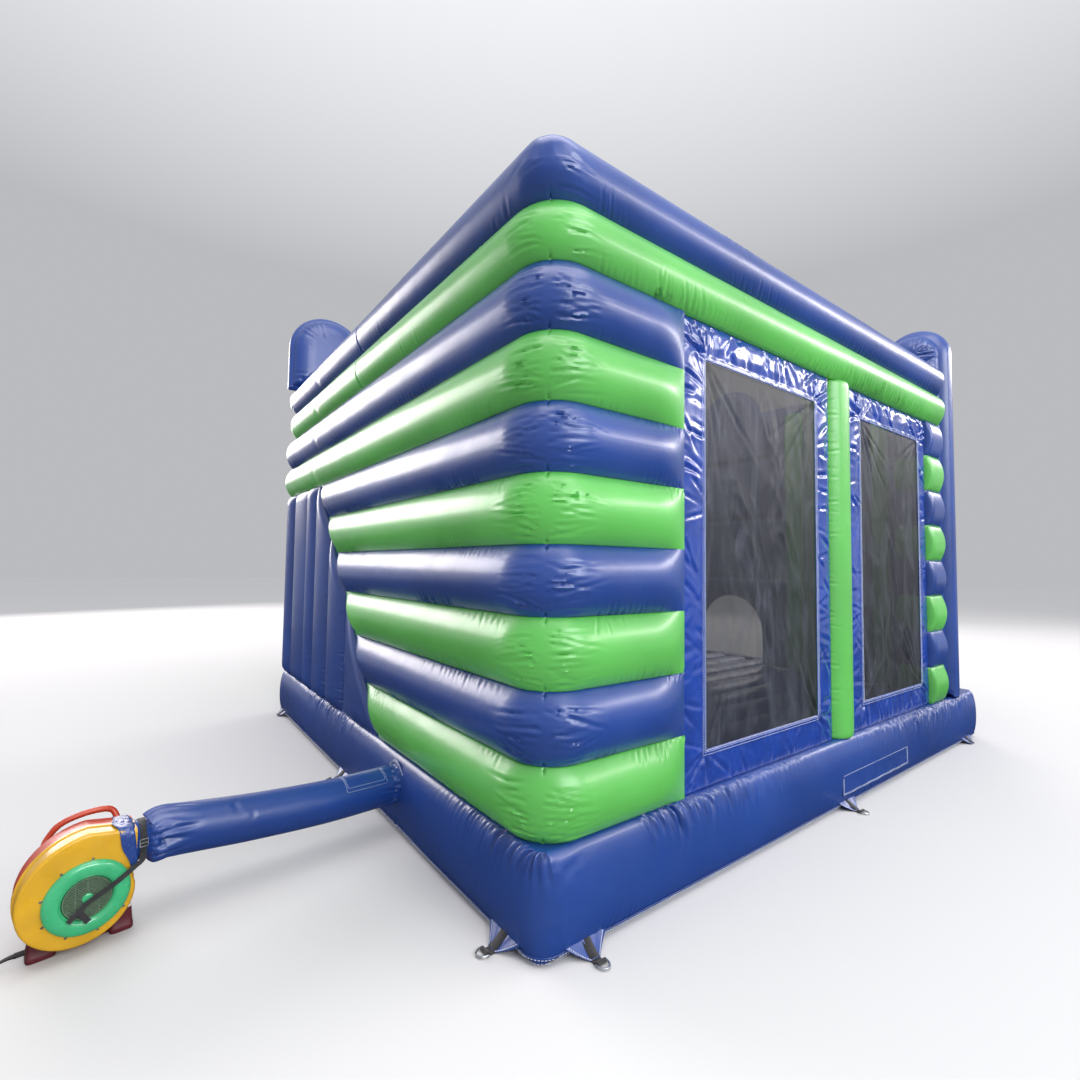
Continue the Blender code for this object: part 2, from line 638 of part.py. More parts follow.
def make_anchor(number, x, y, heading):
    """A webbing strap with an eye, and the D-ring that swings in it, flat on the ground."""
    eye = (STRAP_L, 0.0100)
    around = arc(eye, 0.0092, -115, 160, 10)
    start = 0.0026
    strap = [(start, 0.0005), (STRAP_L - 0.012, 0.0005)] + around
    strap += [(STRAP_L - 0.016, 0.0045), (start, 0.0045)]
    post = bpy.data.objects.new(f"anchor_{number}", None)
    parts.objects.link(post)
    post.location = (x, y, 0)
    post.rotation_euler = (0, 0, radians(heading))
    name = f"anchor_strap_{number}"
    hole = arc(eye, 0.0060, 0, 324, 9)
    plate(name, [strap, hole], STRAP_W, "XZ", 0.0, WEBBING, post)
    pin = bpy.data.objects.new(f"anchor_pin_{number}", None)
    parts.objects.link(pin)
    pin.parent = post
    pin.location = (eye[0], 0, eye[1])
    wide = RING_IN + RING_WIRE
    loop = [(0, -wide, 0), (0, wide, 0)]
    loop += [(wide * 1.35 * sin(a), wide * cos(a), 0) for a in (pi * i / 10 for i in range(1, 10))]
    bent_tube(f"anchor_ring_{number}", loop, RING_WIRE, STEEL, pin, sides=1, closed=True)


# ---------------------------------------------------------------- blower

BLOWER_PLACE = Matrix.Translation(BLOWER_AT) @ Matrix.Rotation(BLOWER_YAW, 4, "Z")


def blower_point(x, y, z):
    """A point of the blower's own frame in the row frame."""
    return BLOWER_PLACE @ Vector((x, y, z))


def blower_way(x, y, z):
    """A direction of the blower's own frame in the row frame."""
    return BLOWER_PLACE.to_3x3() @ Vector((x, y, z))


def scroll(shrink=0.0, mouth=OUTLET_Y):
    """The blower's scroll outline in (y, z), drawn in by shrink."""
    points = []
    for step in range(19):
        angle = radians(270 * step / 18)
        radius = SCROLL_R[0] + (SCROLL_R[1] - SCROLL_R[0]) * step / 18 - shrink
        points.append((-radius * cos(angle), -radius * sin(angle)))
    low, top = OUTLET_Z[0] + shrink, OUTLET_Z[1] - shrink
    return points + [(mouth, top), (mouth, low), (-SCROLL_R[0] + shrink + 0.02, low)]


def half_housing(name, x_range, open_left, hole_r, material, blower):
    """One half of the scroll housing: a dish with a round hole in its wall."""
    low, high = x_range
    shell = plate(name, [scroll()], high - low, "YZ", (low + high) / 2, material, blower)
    inner = (low - 0.01, high - SHELL) if open_left else (low + SHELL, high + 0.01)
    room = plate(f"{name}_room", [scroll(SHELL, OUTLET_Y - 0.02)], inner[1] - inner[0], "YZ",
                 sum(inner) / 2, None, blower)
    eye = rod(f"{name}_eye", hole_r, (low - 0.02, 0, 0), (high + 0.02, 0, 0), None, blower)
    boolean(shell, room)
    boolean(shell, eye)


def make_housing(blower):
    half_housing("volute_cover", COVER_X, False, INTAKE_R, YELLOW, blower)
    half_housing("volute_housing", HOUSING_X, True, 0.022, RED, blower)
    face = COVER_X[0] - GAP
    profile = [(RING_R[0] + 0.012, 0.020), (RING_R[1] - 0.018, 0.016), (RING_R[1], 0.0),
               (RING_R[0], 0.0), (RING_R[0], 0.010)]
    ring = turned("intake_ring", profile, MINT, blower)
    ring.location.x = face
    ring.rotation_euler = (0, -pi / 2, 0)
    grille = rod("intake_grille", GRILLE_R, (face - 0.008, 0, 0), (face - 0.005, 0, 0), DARK, blower)
    for number in range(-4, 5):
        z = number * 0.0145
        half = (GRILLE_R ** 2 - z ** 2) ** 0.5 - 0.008
        slot = box(f"grille_slot_{number + 4}", (face - 0.02, -half, z - 0.0042),
                   (face + 0.01, half, z + 0.0042), None, blower)
        boolean(grille, slot)


def make_rotor(blower):
    """The impeller: a back plate with a hub and twelve blades, on the motor's shaft."""
    plate_x = -0.024
    wheel = rod("impeller", 0.128, (plate_x, 0, 0), (plate_x + 0.006, 0, 0), ALLOY, blower)
    hub = rod("impeller_hub", 0.026, (plate_x - 0.045, 0, 0), (plate_x + 0.004, 0, 0), None, blower)
    boolean(wheel, hub, "UNION")
    for number in range(12):
        angle = 2 * pi * number / 12
        blade = box(f"impeller_blade_{number}", (-0.031, -0.0015, -0.020), (0.031, 0.0015, 0.020),
                    None, blower)
        blade.location = (plate_x - 0.027, 0.105 * cos(angle), 0.105 * sin(angle))
        blade.rotation_euler = (angle + radians(60), 0, 0)
        boolean(wheel, blade, "UNION")
    shaft = rod("motor_shaft", 0.010, (plate_x, 0, 0), (HOUSING_X[1] + 0.010, 0, 0), None, blower)
    boolean(wheel, shaft, "UNION")


def make_motor(blower):
    back = HOUSING_X[1]
    rod("motor", MOTOR_R, (back + 0.015, 0, 0), (back + 0.105, 0, 0), ALLOY, blower, sides=20)
    outer, inner = 0.092, 0.084
    profile = [(0.030, 0.135), (outer - 0.030, 0.135), (outer, 0.100), (outer, GAP), (inner, GAP),
               (inner, 0.095), (inner - 0.028, 0.125), (0.030, 0.125)]
    cover = turned("motor_cover", profile, MAROON, blower, 24)
    cover.location.x = back
    cover.rotation_euler = (0, pi / 2, 0)
    x, z = SWITCH_AT[0], SWITCH_AT[2]
    seat = box("switch_seat", (x - 0.019, -0.014, outer - 0.006), (x + 0.019, 0.014, z - 0.0095),
               None, blower)
    boolean(cover, seat, "UNION")
    run = [(back + GAP, 0.125, 0.140), (back + 0.018, 0.125, 0.150), (back + 0.030, 0.115, 0.180),
           (back + 0.030, 0.080, 0.225), (back + 0.030, 0.020, 0.246), (back + 0.030, -0.050, 0.250),
           (back + 0.030, -0.088, 0.238), (back + 0.018, -0.104, 0.210), (back + GAP, -0.105, 0.188)]
    handle = bent_tube("carry_handle", smooth(run, 2), 0.012, RED, blower)
    keep_side(handle, blower_point(back + GAP, 0, 0), blower_way(1, 0, 0))


def make_stand(blower):
    """Two feet joined by two rails under the scroll, cut to its shape."""
    ground = -BLOWER_AT[2]
    left, right = STAND_X
    stand = box("blower_stand", (left, 0.075, ground), (right, 0.165, ground + 0.085), MAROON, blower)
    foot = box("front_foot", (left, -0.165, ground), (right, -0.085, ground + 0.085), None, blower)
    rail = box("stand_rail", (left, -0.120, ground), (right, 0.120, ground + 0.024), None, blower)
    seat = plate("scroll_seat", [scroll(-0.0010)], 0.40, "YZ", 0.0, None, blower)
    boolean(stand, foot, "UNION")
    boolean(stand, rail, "UNION")
    boolean(stand, seat)


def make_nozzle(blower):
    """The round spigot of the outlet and the strap that holds the air tube's cuff on it."""
    mouth = OUTLET_Y - GAP
    profile = [(NOZZLE_R, 0.045), (NOZZLE_R, 0.0), (NOZZLE_R - 0.006, 0.0), (NOZZLE_R - 0.006, 0.045)]
    nozzle = turned("outlet_nozzle", profile, YELLOW, blower)
    inner, outer, half = NOZZLE_R + 0.004, NOZZLE_R + 0.008, 0.012
    strap = turned("cuff_strap", [(outer, half), (outer, -half), (inner, -half), (inner, half)],
                   WEBBING, blower)
    for thing, y in ((nozzle, mouth), (strap, mouth - 0.024)):
        thing.location = (DUCT_X, y, DUCT_Z)
        thing.rotation_euler = (pi / 2, 0, 0)


def make_switch(blower):
    """A rocker over the seat on the motor cover, turning about its middle."""
    rocker = bpy.data.objects.new("switch_pivot", None)
    parts.objects.link(rocker)
    rocker.parent = blower
    rocker.location = SWITCH_AT
    switch = box("power_switch", (-0.013, -0.009, -0.006), (0.013, 0.009, 0.004), DARK, rocker)
    switch.location = (0, 0, 0)
    switch.rotation_euler = (0, -SWITCH_TILT, 0)


def make_cord():
    """The gland on the stand, the lead along the ground, its coil and its plug."""
    start = Vector(CORD_ROUTE[0])
    way = blower_way(0, 1, 0)
    rod("cord_gland", 0.010, start - way * 0.0303, start - way * GAP, DARK, sides=12)
    cord = bent_tube("power_cord", smooth(CORD_ROUTE, 4), CORD_D / 2, DARK)
    keep_side(cord, start, way)
    wide, high = CORD_D * COIL_WIDE / 2, CORD_D * COIL_HIGH
    section = [(COIL_R + wide, high + GAP), (COIL_R + wide, GAP), (COIL_R - wide, GAP),
               (COIL_R - wide, high + GAP)]
    coil = turned("power_cord_coil", section, DARK)
    coil.location = (*COIL_AT, 0)
    floor = high + 2 * GAP
    half = [size / 2 for size in PLUG_SIZE]
    plug = box("power_plug", (COIL_AT[0] - half[0], COIL_AT[1] - half[1], floor),
               (COIL_AT[0] + half[0], COIL_AT[1] + half[1], floor + PLUG_SIZE[2]), DARK)
    soften(plug, 0.005)
    for side in (-1, 1):
        x, z = COIL_AT[0] + side * 0.0095, floor + half[2]
        pin = rod(f"plug_pin_{side}", 0.0024, (x, COIL_AT[1] - half[1] + 0.004, z),
                  (x, COIL_AT[1] - half[1] - 0.019, z), None, sides=10)
        boolean(plug, pin, "UNION")


def smooth(points, steps):
    """A smooth line through the points, with steps pieces between each two."""
    ends = [Vector(p) for p in points]
    ends = [2 * ends[0] - ends[1]] + ends + [2 * ends[-1] - ends[-2]]
    line = []
    for a, b, c, d in zip(ends, ends[1:], ends[2:], ends[3:]):
        for step in range(steps):
            t = step / steps
            line.append(0.5 * (2 * b + (c - a) * t + (2 * a - 5 * b + 4 * c - d) * t ** 2
                               + (3 * b - a - 3 * c + d) * t ** 3))
    return line + [ends[-2]]


def make_air_tube():
    """The air tube, from just past the nozzle to the mattress, narrow at the cuff."""
    mouth = blower_point(DUCT_X, OUTLET_Y - 0.046, DUCT_Z)
    way = blower_way(0, -1, 0)
    root = Vector(ROOT)
    run = [mouth, mouth + way * 0.035, mouth + way * 0.09, mouth.lerp(root, 0.35) - Vector((0, 0, 0.01)),
           mouth.lerp(root, 0.65) - Vector((0, 0, 0.015)), root + Vector((0, 0.10, 0)), root]
    tube = bent_tube("air_tube", run, TUBE_R, BLUE, radii=(0.85, 0.98, 1, 1, 1, 1, 0.97))
    keep_side(tube, (0, root.y, 0), (0, 1, 0))


def make_blower():
    blower = bpy.data.objects.new("blower", None)
    parts.objects.link(blower)
    blower.location = BLOWER_AT
    blower.rotation_euler = (0, 0, BLOWER_YAW)
    make_housing(blower)
    make_rotor(blower)
    make_motor(blower)
    make_stand(blower)
    make_nozzle(blower)
    make_switch(blower)
    make_cord()
    make_air_tube()


make_base()
make_back_wall()
make_top_ring()
make_window_side()
make_tower_panel()
make_front()
make_ramp()
make_slide()
make_flap()
for number, (x, y, heading) in ANCHORS.items():
    make_anchor(number, x, y, heading)
make_blower()
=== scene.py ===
from math import cos, hypot, pi, radians, sin, sqrt

import bmesh
import bpy
import numpy as np
from mathutils import Matrix, Vector
from mathutils.geometry import delaunay_2d_cdt


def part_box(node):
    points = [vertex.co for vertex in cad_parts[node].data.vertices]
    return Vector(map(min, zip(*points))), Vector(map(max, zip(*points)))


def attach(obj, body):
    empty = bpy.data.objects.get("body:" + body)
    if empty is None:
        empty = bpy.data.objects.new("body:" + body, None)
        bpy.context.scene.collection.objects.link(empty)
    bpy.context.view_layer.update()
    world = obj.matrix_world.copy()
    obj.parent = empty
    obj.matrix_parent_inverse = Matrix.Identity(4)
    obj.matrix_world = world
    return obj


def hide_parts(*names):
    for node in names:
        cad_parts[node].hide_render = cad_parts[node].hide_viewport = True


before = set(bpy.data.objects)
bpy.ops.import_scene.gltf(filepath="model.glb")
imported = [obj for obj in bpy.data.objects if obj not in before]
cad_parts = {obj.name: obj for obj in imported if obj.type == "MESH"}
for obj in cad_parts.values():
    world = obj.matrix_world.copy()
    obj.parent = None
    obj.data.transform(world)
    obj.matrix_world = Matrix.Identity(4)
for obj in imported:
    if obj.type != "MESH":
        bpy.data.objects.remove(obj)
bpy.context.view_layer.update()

HOUSE = "house"
RANDOM = np.random.default_rng(11)

# ---------------------------------------------------------------- sizes, from the frame
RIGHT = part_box("tower_back_panel")[1][0]
LEFT = -RIGHT
WALL_OUT = 0.07  # how far a tube swells past its wall's plane
BACK = 2.5
FRONT = -BACK
WIDTH, DEPTH = RIGHT - LEFT, BACK - FRONT
BASE_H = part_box("base_mattress")[1][2]
BASE_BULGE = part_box("base_mattress")[1][0] - RIGHT
RING_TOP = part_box("top_tube_blue_back")[1][2]
RING_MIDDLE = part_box("top_tube_green_back")[1][2]
RING_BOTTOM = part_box("top_tube_green_back")[0][2]
LOWER_TUBES = 8
TUBE_H = (RING_BOTTOM - BASE_H) / LOWER_TUBES
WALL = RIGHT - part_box("slide_side_wall")[0][0]
CORNER_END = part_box("corner_panel_window_side")[0][1]
PLATFORM_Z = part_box("platform")[1][2]
RAMP_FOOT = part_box("climb_ramp")[0][0]
RAMP_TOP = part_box("platform")[0][0]
FACADE_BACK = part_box("entrance_arch")[1][1]
PINCH_X = 1.10  # a pinch across the upper tubes of the back wall


# ---------------------------------------------------------------- camera, floor and light

CAMERA_AT = (-3.902, 3.788, 1.519)
CAMERA_AHEAD = (0.8020, -0.5973, 0.0)
CAMERA_PITCH, CAMERA_ROLL = radians(2.784), radians(0.734)
SENSOR_MM, LENS_MM = 36.0, 18.075
FLOOR_REACH, FLOOR_LEVEL = 60.0, -0.0006
FLOOR_GREY = (0.60, 0.60, 0.60, 1)
SKY_WHITE = (0.95, 0.96, 1.0, 1)
SKY_DARK, SKY_DIM, SKY_TOP = 0.05, 0.52, 0.8  # below the horizon, round it, and added overhead
WARM, COOL = (1.0, 0.94, 0.93), (0.95, 0.97, 1.0)


def make_camera():
    """Low and near the corner, with a wide lens."""
    data = bpy.data.cameras.new("camera")
    data.sensor_width = SENSOR_MM
    data.lens = LENS_MM
    data.clip_end = 200.0
    camera = bpy.data.objects.new("camera", data)
    bpy.context.scene.collection.objects.link(camera)
    ahead = Vector(CAMERA_AHEAD).normalized()
    right = Vector((ahead.y, -ahead.x, 0.0))
    up = Vector((0, 0, 1))
    forward = ahead * cos(CAMERA_PITCH) + up * sin(CAMERA_PITCH)
    lifted = right.cross(forward)
    side = right * cos(CAMERA_ROLL) + lifted * sin(CAMERA_ROLL)
    top = side.cross(forward)
    turn = Matrix((side, top, -forward)).transposed().to_4x4()
    camera.matrix_world = Matrix.Translation(CAMERA_AT) @ turn
    bpy.context.scene.camera = camera


def area_light(name, place, target, size, power, colour):
    data = bpy.data.lights.new(name, "AREA")
    data.shape = "RECTANGLE"
    data.size, data.size_y = size
    data.energy = power
    data.color = colour
    light = bpy.data.objects.new(name, data)
    light.location = place
    light.rotation_euler = (Vector(target) - Vector(place)).to_track_quat("-Z", "Y").to_euler()
    light.visible_camera = False
    bpy.context.scene.collection.objects.link(light)


def map_range(tree, value, source, target):
    """A Map Range node from one pair of limits to another; returns its result."""
    node = tree.nodes.new("ShaderNodeMapRange")
    node.inputs["From Min"].default_value, node.inputs["From Max"].default_value = source
    node.inputs["To Min"].default_value, node.inputs["To Max"].default_value = target
    tree.links.new(value, node.inputs["Value"])
    return node.outputs["Result"]


def make_stage():
    """A pale floor under a dim pale sky, and soft boxes all round that the vinyl mirrors."""
    mesh = bpy.data.meshes.new("floor")
    square = ((-1, -1), (1, -1), (1, 1), (-1, 1))
    corners = [(x * FLOOR_REACH, y * FLOOR_REACH, FLOOR_LEVEL) for x, y in square]
    mesh.from_pydata(corners, [], [(0, 1, 2, 3)])
    floor = bpy.data.objects.new("floor", mesh)
    bpy.context.scene.collection.objects.link(floor)
    floor.visible_glossy = False
    material = bpy.data.materials.new("floor_paint")
    material.use_nodes = True
    shader = material.node_tree.nodes["Principled BSDF"]
    shader.inputs["Base Color"].default_value = FLOOR_GREY
    shader.inputs["Roughness"].default_value = 0.95
    shader.inputs["Specular IOR Level"].default_value = 0.0
    mesh.materials.append(material)
    world = bpy.data.worlds.new("studio")
    world.use_nodes = True
    tree = world.node_tree
    sky = tree.nodes["Background"]
    sky.inputs["Color"].default_value = SKY_WHITE
    way = tree.nodes.new("ShaderNodeTexCoord")
    split = tree.nodes.new("ShaderNodeSeparateXYZ")
    tree.links.new(way.outputs["Generated"], split.inputs[0])
    total = tree.nodes.new("ShaderNodeMath")
    total.operation = "ADD"
    horizon = map_range(tree, split.outputs["Z"], (-0.12, -0.10), (SKY_DARK, SKY_DIM))
    zenith = map_range(tree, split.outputs["Z"], (0.45, 1.0), (0.0, SKY_TOP))
    tree.links.new(horizon, total.inputs[0])
    tree.links.new(zenith, total.inputs[1])
    tree.links.new(total.outputs[0], sky.inputs["Strength"])
    bpy.context.scene.world = world
    for name, *light in (
            ("overhead", (-3.4, 2.4, 8.5), (-1.6, 0.8, 2.0), (6.0, 4.4), 300, WARM),
            ("far_back", (15.0, 7.0, 7.0), (0.5, 2.5, 2.0), (13.0, 6.0), 1900, WARM),
            ("far_window", (-11.0, -12.5, 8.6), (-2.2, 0.0, 2.0), (17.0, 1.9), 1400, WARM),
            ("window_side", (-12.0, 1.5, 6.5), (-2.0, 0.2, 1.6), (7.0, 4.0), 850, COOL),
            ("front_side", (6.0, -11.0, 6.0), (0.4, -2.0, 1.6), (6.0, 3.0), 500, WARM)):
        area_light(name, *light)
    bpy.context.scene.view_settings.view_transform = "Standard"


# ---------------------------------------------------------------- materials

SOCKETS = {"coat": "Coat Weight", "coat_roughness": "Coat Roughness", "sheen": "Sheen Weight",
           "specular": "Specular IOR Level"}


class Shader:
    """A node tree around one Principled shader, built a node at a time."""

    def __init__(self, name, colour, roughness, metallic=0.0, **finish):
        self.material = bpy.data.materials.new(name)
        self.material.use_nodes = True
        self.tree = self.material.node_tree
        self.base = self.tree.nodes["Principled BSDF"]
        self.base.inputs["Base Color"].default_value = (*colour, 1)
        self.base.inputs["Roughness"].default_value = roughness
        self.base.inputs["Metallic"].default_value = metallic
        for name, value in finish.items():
            self.base.inputs[SOCKETS[name]].default_value = value
        self.colour = colour
        self.place = self.tree.nodes.new("ShaderNodeTexCoord").outputs["Object"]
        self.height = None

    def link(self, output, socket):
        self.tree.links.new(output, socket)

    def noise(self, scale, detail=2.0, rough=0.5, stretch=None, distortion=0.0):
        node = self.tree.nodes.new("ShaderNodeTexNoise")
        for socket, value in (("Scale", scale), ("Detail", detail), ("Roughness", rough),
                              ("Distortion", distortion)):
            node.inputs[socket].default_value = value
        place = self.place
        if stretch:
            mapping = self.tree.nodes.new("ShaderNodeMapping")
            mapping.inputs["Scale"].default_value = stretch
            self.link(self.place, mapping.inputs["Vector"])
            place = mapping.outputs["Vector"]
        self.link(place, node.inputs["Vector"])
        return node.outputs["Fac"]

    def bands(self, way, scale):
        """Even ribs across one direction."""
        node = self.tree.nodes.new("ShaderNodeTexWave")
        node.wave_type, node.bands_direction = "BANDS", way
        node.inputs["Scale"].default_value = scale
        self.link(self.place, node.inputs["Vector"])
        return node.outputs["Fac"]

    def ramp(self, value, source, target):
        return map_range(self.tree, value, source, target)

    def math(self, kind, first, second):
        node = self.tree.nodes.new("ShaderNodeMath")
        node.operation = kind
        self.link(first, node.inputs[0])
        self.link(second, node.inputs[1])
        return node.outputs[0]

    def vary_colour(self, value, dark, light):
        """Mixes two shades by a value from 0 to 1."""
        mix = self.tree.nodes.new("ShaderNodeMix")
        mix.data_type = "RGBA"
        for socket, shade in ((6, dark), (7, light)):
            mix.inputs[socket].default_value = (*(min(1.0, c * shade) for c in self.colour), 1)
        self.link(value, mix.inputs[0])
        self.link(mix.outputs[2], self.base.inputs["Base Color"])

    def patches(self, scale, detail, dark, light):
        """Soft patches of a darker and a lighter shade."""
        self.vary_colour(self.ramp(self.noise(scale, detail), (0.3, 0.7), (0.0, 1.0)), dark, light)

    def vary_roughness(self, scale, detail, low, high):
        self.link(self.ramp(self.noise(scale, detail), (0.3, 0.7), (low, high)),
                  self.base.inputs["Roughness"])

    def bump(self, value, distance, strength=1.0):
        node = self.tree.nodes.new("ShaderNodeBump")
        node.inputs["Strength"].default_value = strength
        node.inputs["Distance"].default_value = distance
        self.link(value, node.inputs["Height"])
        if self.height is not None:
            self.link(self.height, node.inputs["Normal"])
        self.height = node.outputs["Normal"]
        self.link(self.height, self.base.inputs["Normal"])


def vinyl(name, colour, gloss=0.36):
    """Coated fabric: a soft gloss, faint handling creases, a fine woven scrim under the coat."""
    shader = Shader(name, colour, gloss, coat=0.35, coat_roughness=0.22, specular=0.65)
    shader.patches(1.3, 3.0, 0.84, 1.12)
    shader.vary_roughness(5.0, 4.0, gloss - 0.05, gloss + 0.07)
    shader.bump(shader.noise(7.0, 2.0, 0.45, distortion=0.6), 0.0020)
    shader.bump(shader.noise(38.0, 3.0, 0.6), 0.00024)
    weave = shader.math("MULTIPLY", shader.bands("X", 260.0), shader.bands("Z", 260.0))
    shader.bump(weave, 0.00012, 0.5)
    return shader.material


def loose_vinyl(name, colour):
    """Thin coated fabric under no air pressure: glossy, softly creased all over."""
    shader = Shader(name, colour, 0.2, coat=0.5, coat_roughness=0.12, specular=0.7)
    shader.bump(shader.noise(3.0, 1.0, 0.5, distortion=1.2), 0.003)
    shader.bump(shader.noise(14.0, 2.0, 0.5, distortion=1.0), 0.0004)
    shader.vary_roughness(9.0, 3.0, 0.20, 0.32)
    shader.patches(6.0, 3.0, 0.85, 1.2)
    return shader.material


def net_cloth(name, colour):
    """Dark safety net: mostly seen through, covering more where it is creased, with a painted highlight
    lightening the creases.
    """
    shader = Shader(name, colour, 0.6)
    crease_cover_and_highlight = shader.noise(3.5, 4.0, 0.62, stretch=(1.0, 1.6, 0.55), distortion=1.4)
    # painted highlight: along the creased streaks the net's colour is lightened up to twice
    shader.vary_colour(shader.ramp(crease_cover_and_highlight, (0.45, 0.75), (0.0, 1.0)), 0.5, 2.0)
    weave = shader.math("MAXIMUM", shader.bands("Y", 105.0), shader.bands("Z", 105.0))
    cover = shader.math("ADD", shader.ramp(weave, (0.4, 0.95), (0.74, 0.97)),
                        shader.ramp(crease_cover_and_highlight, (0.4, 0.75), (0.0, 0.08)))
    shader.link(cover, shader.base.inputs["Alpha"])
    return shader.material


def moulded(name, colour, gloss=0.3, coat=0.2):
    """Moulded plastic with a faint grain and rubbed patches."""
    shader = Shader(name, colour, gloss, coat=coat, coat_roughness=0.12)
    shader.patches(9.0, 4.0, 0.88, 1.1)
    shader.vary_roughness(24.0, 4.0, gloss - 0.06, gloss + 0.14)
    shader.bump(shader.noise(320.0, 2.0), 0.0004, 0.6)
    return shader.material


def webbing(name, colour):
    """Flat woven band: ribs across it and a dull face."""
    shader = Shader(name, colour, 0.75, sheen=0.3)
    shader.bump(shader.bands("DIAGONAL", 190.0), 0.0006, 0.8)
    shader.patches(60.0, 2.0, 0.7, 1.6)
    return shader.material


def metal(name, colour, gloss=0.3):
    """Plated or cast metal, a little uneven."""
    shader = Shader(name, colour, gloss, 1.0)
    shader.vary_roughness(45.0, 4.0, gloss - 0.08, gloss + 0.15)
    shader.patches(30.0, 3.0, 0.85, 1.1)
    shader.bump(shader.noise(150.0, 3.0), 0.0003, 0.5)
    return shader.material


def thread(name, colour):
    """Twisted sewing thread."""
    shader = Shader(name, colour, 0.7, sheen=0.25)
    shader.bump(shader.bands("DIAGONAL", 400.0), 0.0003, 0.6)
    shader.patches(40.0, 2.0, 0.85, 1.05)
    return shader.material


BLUE = vinyl("blue_vinyl", (0.008, 0.045, 0.235))
GREEN = vinyl("green_vinyl", (0.090, 0.43, 0.070), gloss=0.38)
LOOSE = loose_vinyl("window_vinyl", (0.008, 0.042, 0.27))
NET = net_cloth("black_mesh", (0.022, 0.026, 0.036))
WEB = webbing("black_webbing", (0.012, 0.012, 0.014))
STEEL = metal("zinc_steel", (0.62, 0.65, 0.67))
ALLOY = metal("grey_alloy", (0.5, 0.51, 0.53), 0.38)
YELLOW = moulded("yellow_plastic", (0.62, 0.34, 0.012))
MINT = moulded("mint_plastic", (0.045, 0.40, 0.17), 0.22, coat=0.5)
RED = moulded("red_plastic", (0.44, 0.04, 0.012), 0.36)
MAROON = moulded("maroon_plastic", (0.11, 0.012, 0.02), 0.42)
SLATS = moulded("dark_green_plastic", (0.10, 0.17, 0.10), 0.4)
DARK = moulded("dark_plastic", (0.016, 0.016, 0.018), 0.45, coat=0.0)
THREAD = thread("white_thread", (0.62, 0.68, 0.82))


# ---------------------------------------------------------------- mesh helpers

class Skin:
    """Vertices and faces gathered from several surfaces, made into one object."""

    def __init__(self):
        self.points, self.faces, self.slots, self.materials = [], [], [], []
        self.count = 0

    def slot(self, material):
        if material not in self.materials:
            self.materials.append(material)
        return self.materials.index(material)

    def add(self, points, faces, material):
        points = np.asarray(points, float).reshape(-1, 3)
        index = self.slot(material)
        self.points.append(points)
        for face in faces:
            self.faces.append([int(i) + self.count for i in face])
            self.slots.append(index)
        self.count += len(points)

    def block(self, corners, material):
        """A box from its eight corners, the last of x, y and z changing fastest."""
        self.add(corners, ((0, 1, 3, 2), (4, 6, 7, 5), (0, 4, 5, 1), (2, 3, 7, 6), (1, 5, 7, 3),
                           (0, 2, 6, 4)), material)

    def tube(self, points, material, caps=True):
        """A surface from closed rows of points, one end to the other."""
        self.grid(points, material, closed=(False, True), caps=caps)

    def grid(self, points, material, closed=(False, False), flip=False, caps=False, skip=None):
        """A surface from an array of rows and columns of points."""
        rows, columns = points.shape[:2]
        faces = []
        for i in range(rows if closed[0] else rows - 1):
            for j in range(columns if closed[1] else columns - 1):
                if skip is not None and skip[i, j]:
                    continue
                k, m = (i + 1) % rows, (j + 1) % columns
                face = (i * columns + j, k * columns + j, k * columns + m, i * columns + m)
                faces.append(face[::-1] if flip else face)
        if caps:
            first = list(range(columns))
            last = [(rows - 1) * columns + j for j in range(columns)]
            faces += [first if not flip else first[::-1], last[::-1] if not flip else last]
        self.add(points, faces, material)

    def make(self, name, body=HOUSE, stands_for=(), slot=None, weld=0.0, sharp=None, solid=0.0):
        mesh = bpy.data.meshes.new(name)
        mesh.from_pydata(np.concatenate(self.points).tolist(), [], self.faces)
        for material in self.materials:
            mesh.materials.append(material)
        mesh.polygons.foreach_set("material_index", self.slots)
        mesh.update()
        edit = bmesh.new()
        edit.from_mesh(mesh)
        if weld:
            bmesh.ops.remove_doubles(edit, verts=edit.verts, dist=weld)
        loose = [v for v in edit.verts if not v.link_faces]
        bmesh.ops.delete(edit, geom=loose, context="VERTS")
        bmesh.ops.recalc_face_normals(edit, faces=edit.faces)
        for face in edit.faces:
            face.smooth = True
        edit.to_mesh(mesh)
        edit.free()
        if sharp is not None:
            mesh.set_sharp_from_angle(angle=radians(sharp))
        piece = bpy.data.objects.new(name, mesh)
        bpy.context.scene.collection.objects.link(piece)
        if solid:
            thick = piece.modifiers.new("thickness", "SOLIDIFY")
            thick.thickness = solid
            thick.offset = 0.0
        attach(piece, body)
        if stands_for:
            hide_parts(*([stands_for] if isinstance(stands_for, str) else stands_for))
        return piece


def full_turn(steps):
    """Angles all the way round."""
    return np.linspace(0, 2 * pi, steps, endpoint=False)


def normals_of(points):
    """Unit normals of a grid of points, from its neighbours."""
    normal = np.cross(np.gradient(points, axis=0), np.gradient(points, axis=1))
    length = np.linalg.norm(normal, axis=2, keepdims=True)
    return normal / np.maximum(length, 1e-12)


def crease(place, level, way, spread, length, width, depth, strength=1.0):
    """One crease, its direction, length, width and depth drawn from the ranges given."""
    way += RANDOM.normal(0, spread)
    length, width, depth = (RANDOM.uniform(*v) if isinstance(v, tuple) else v for v in (length, width, depth))
    return place, level, way, length, width, depth * strength


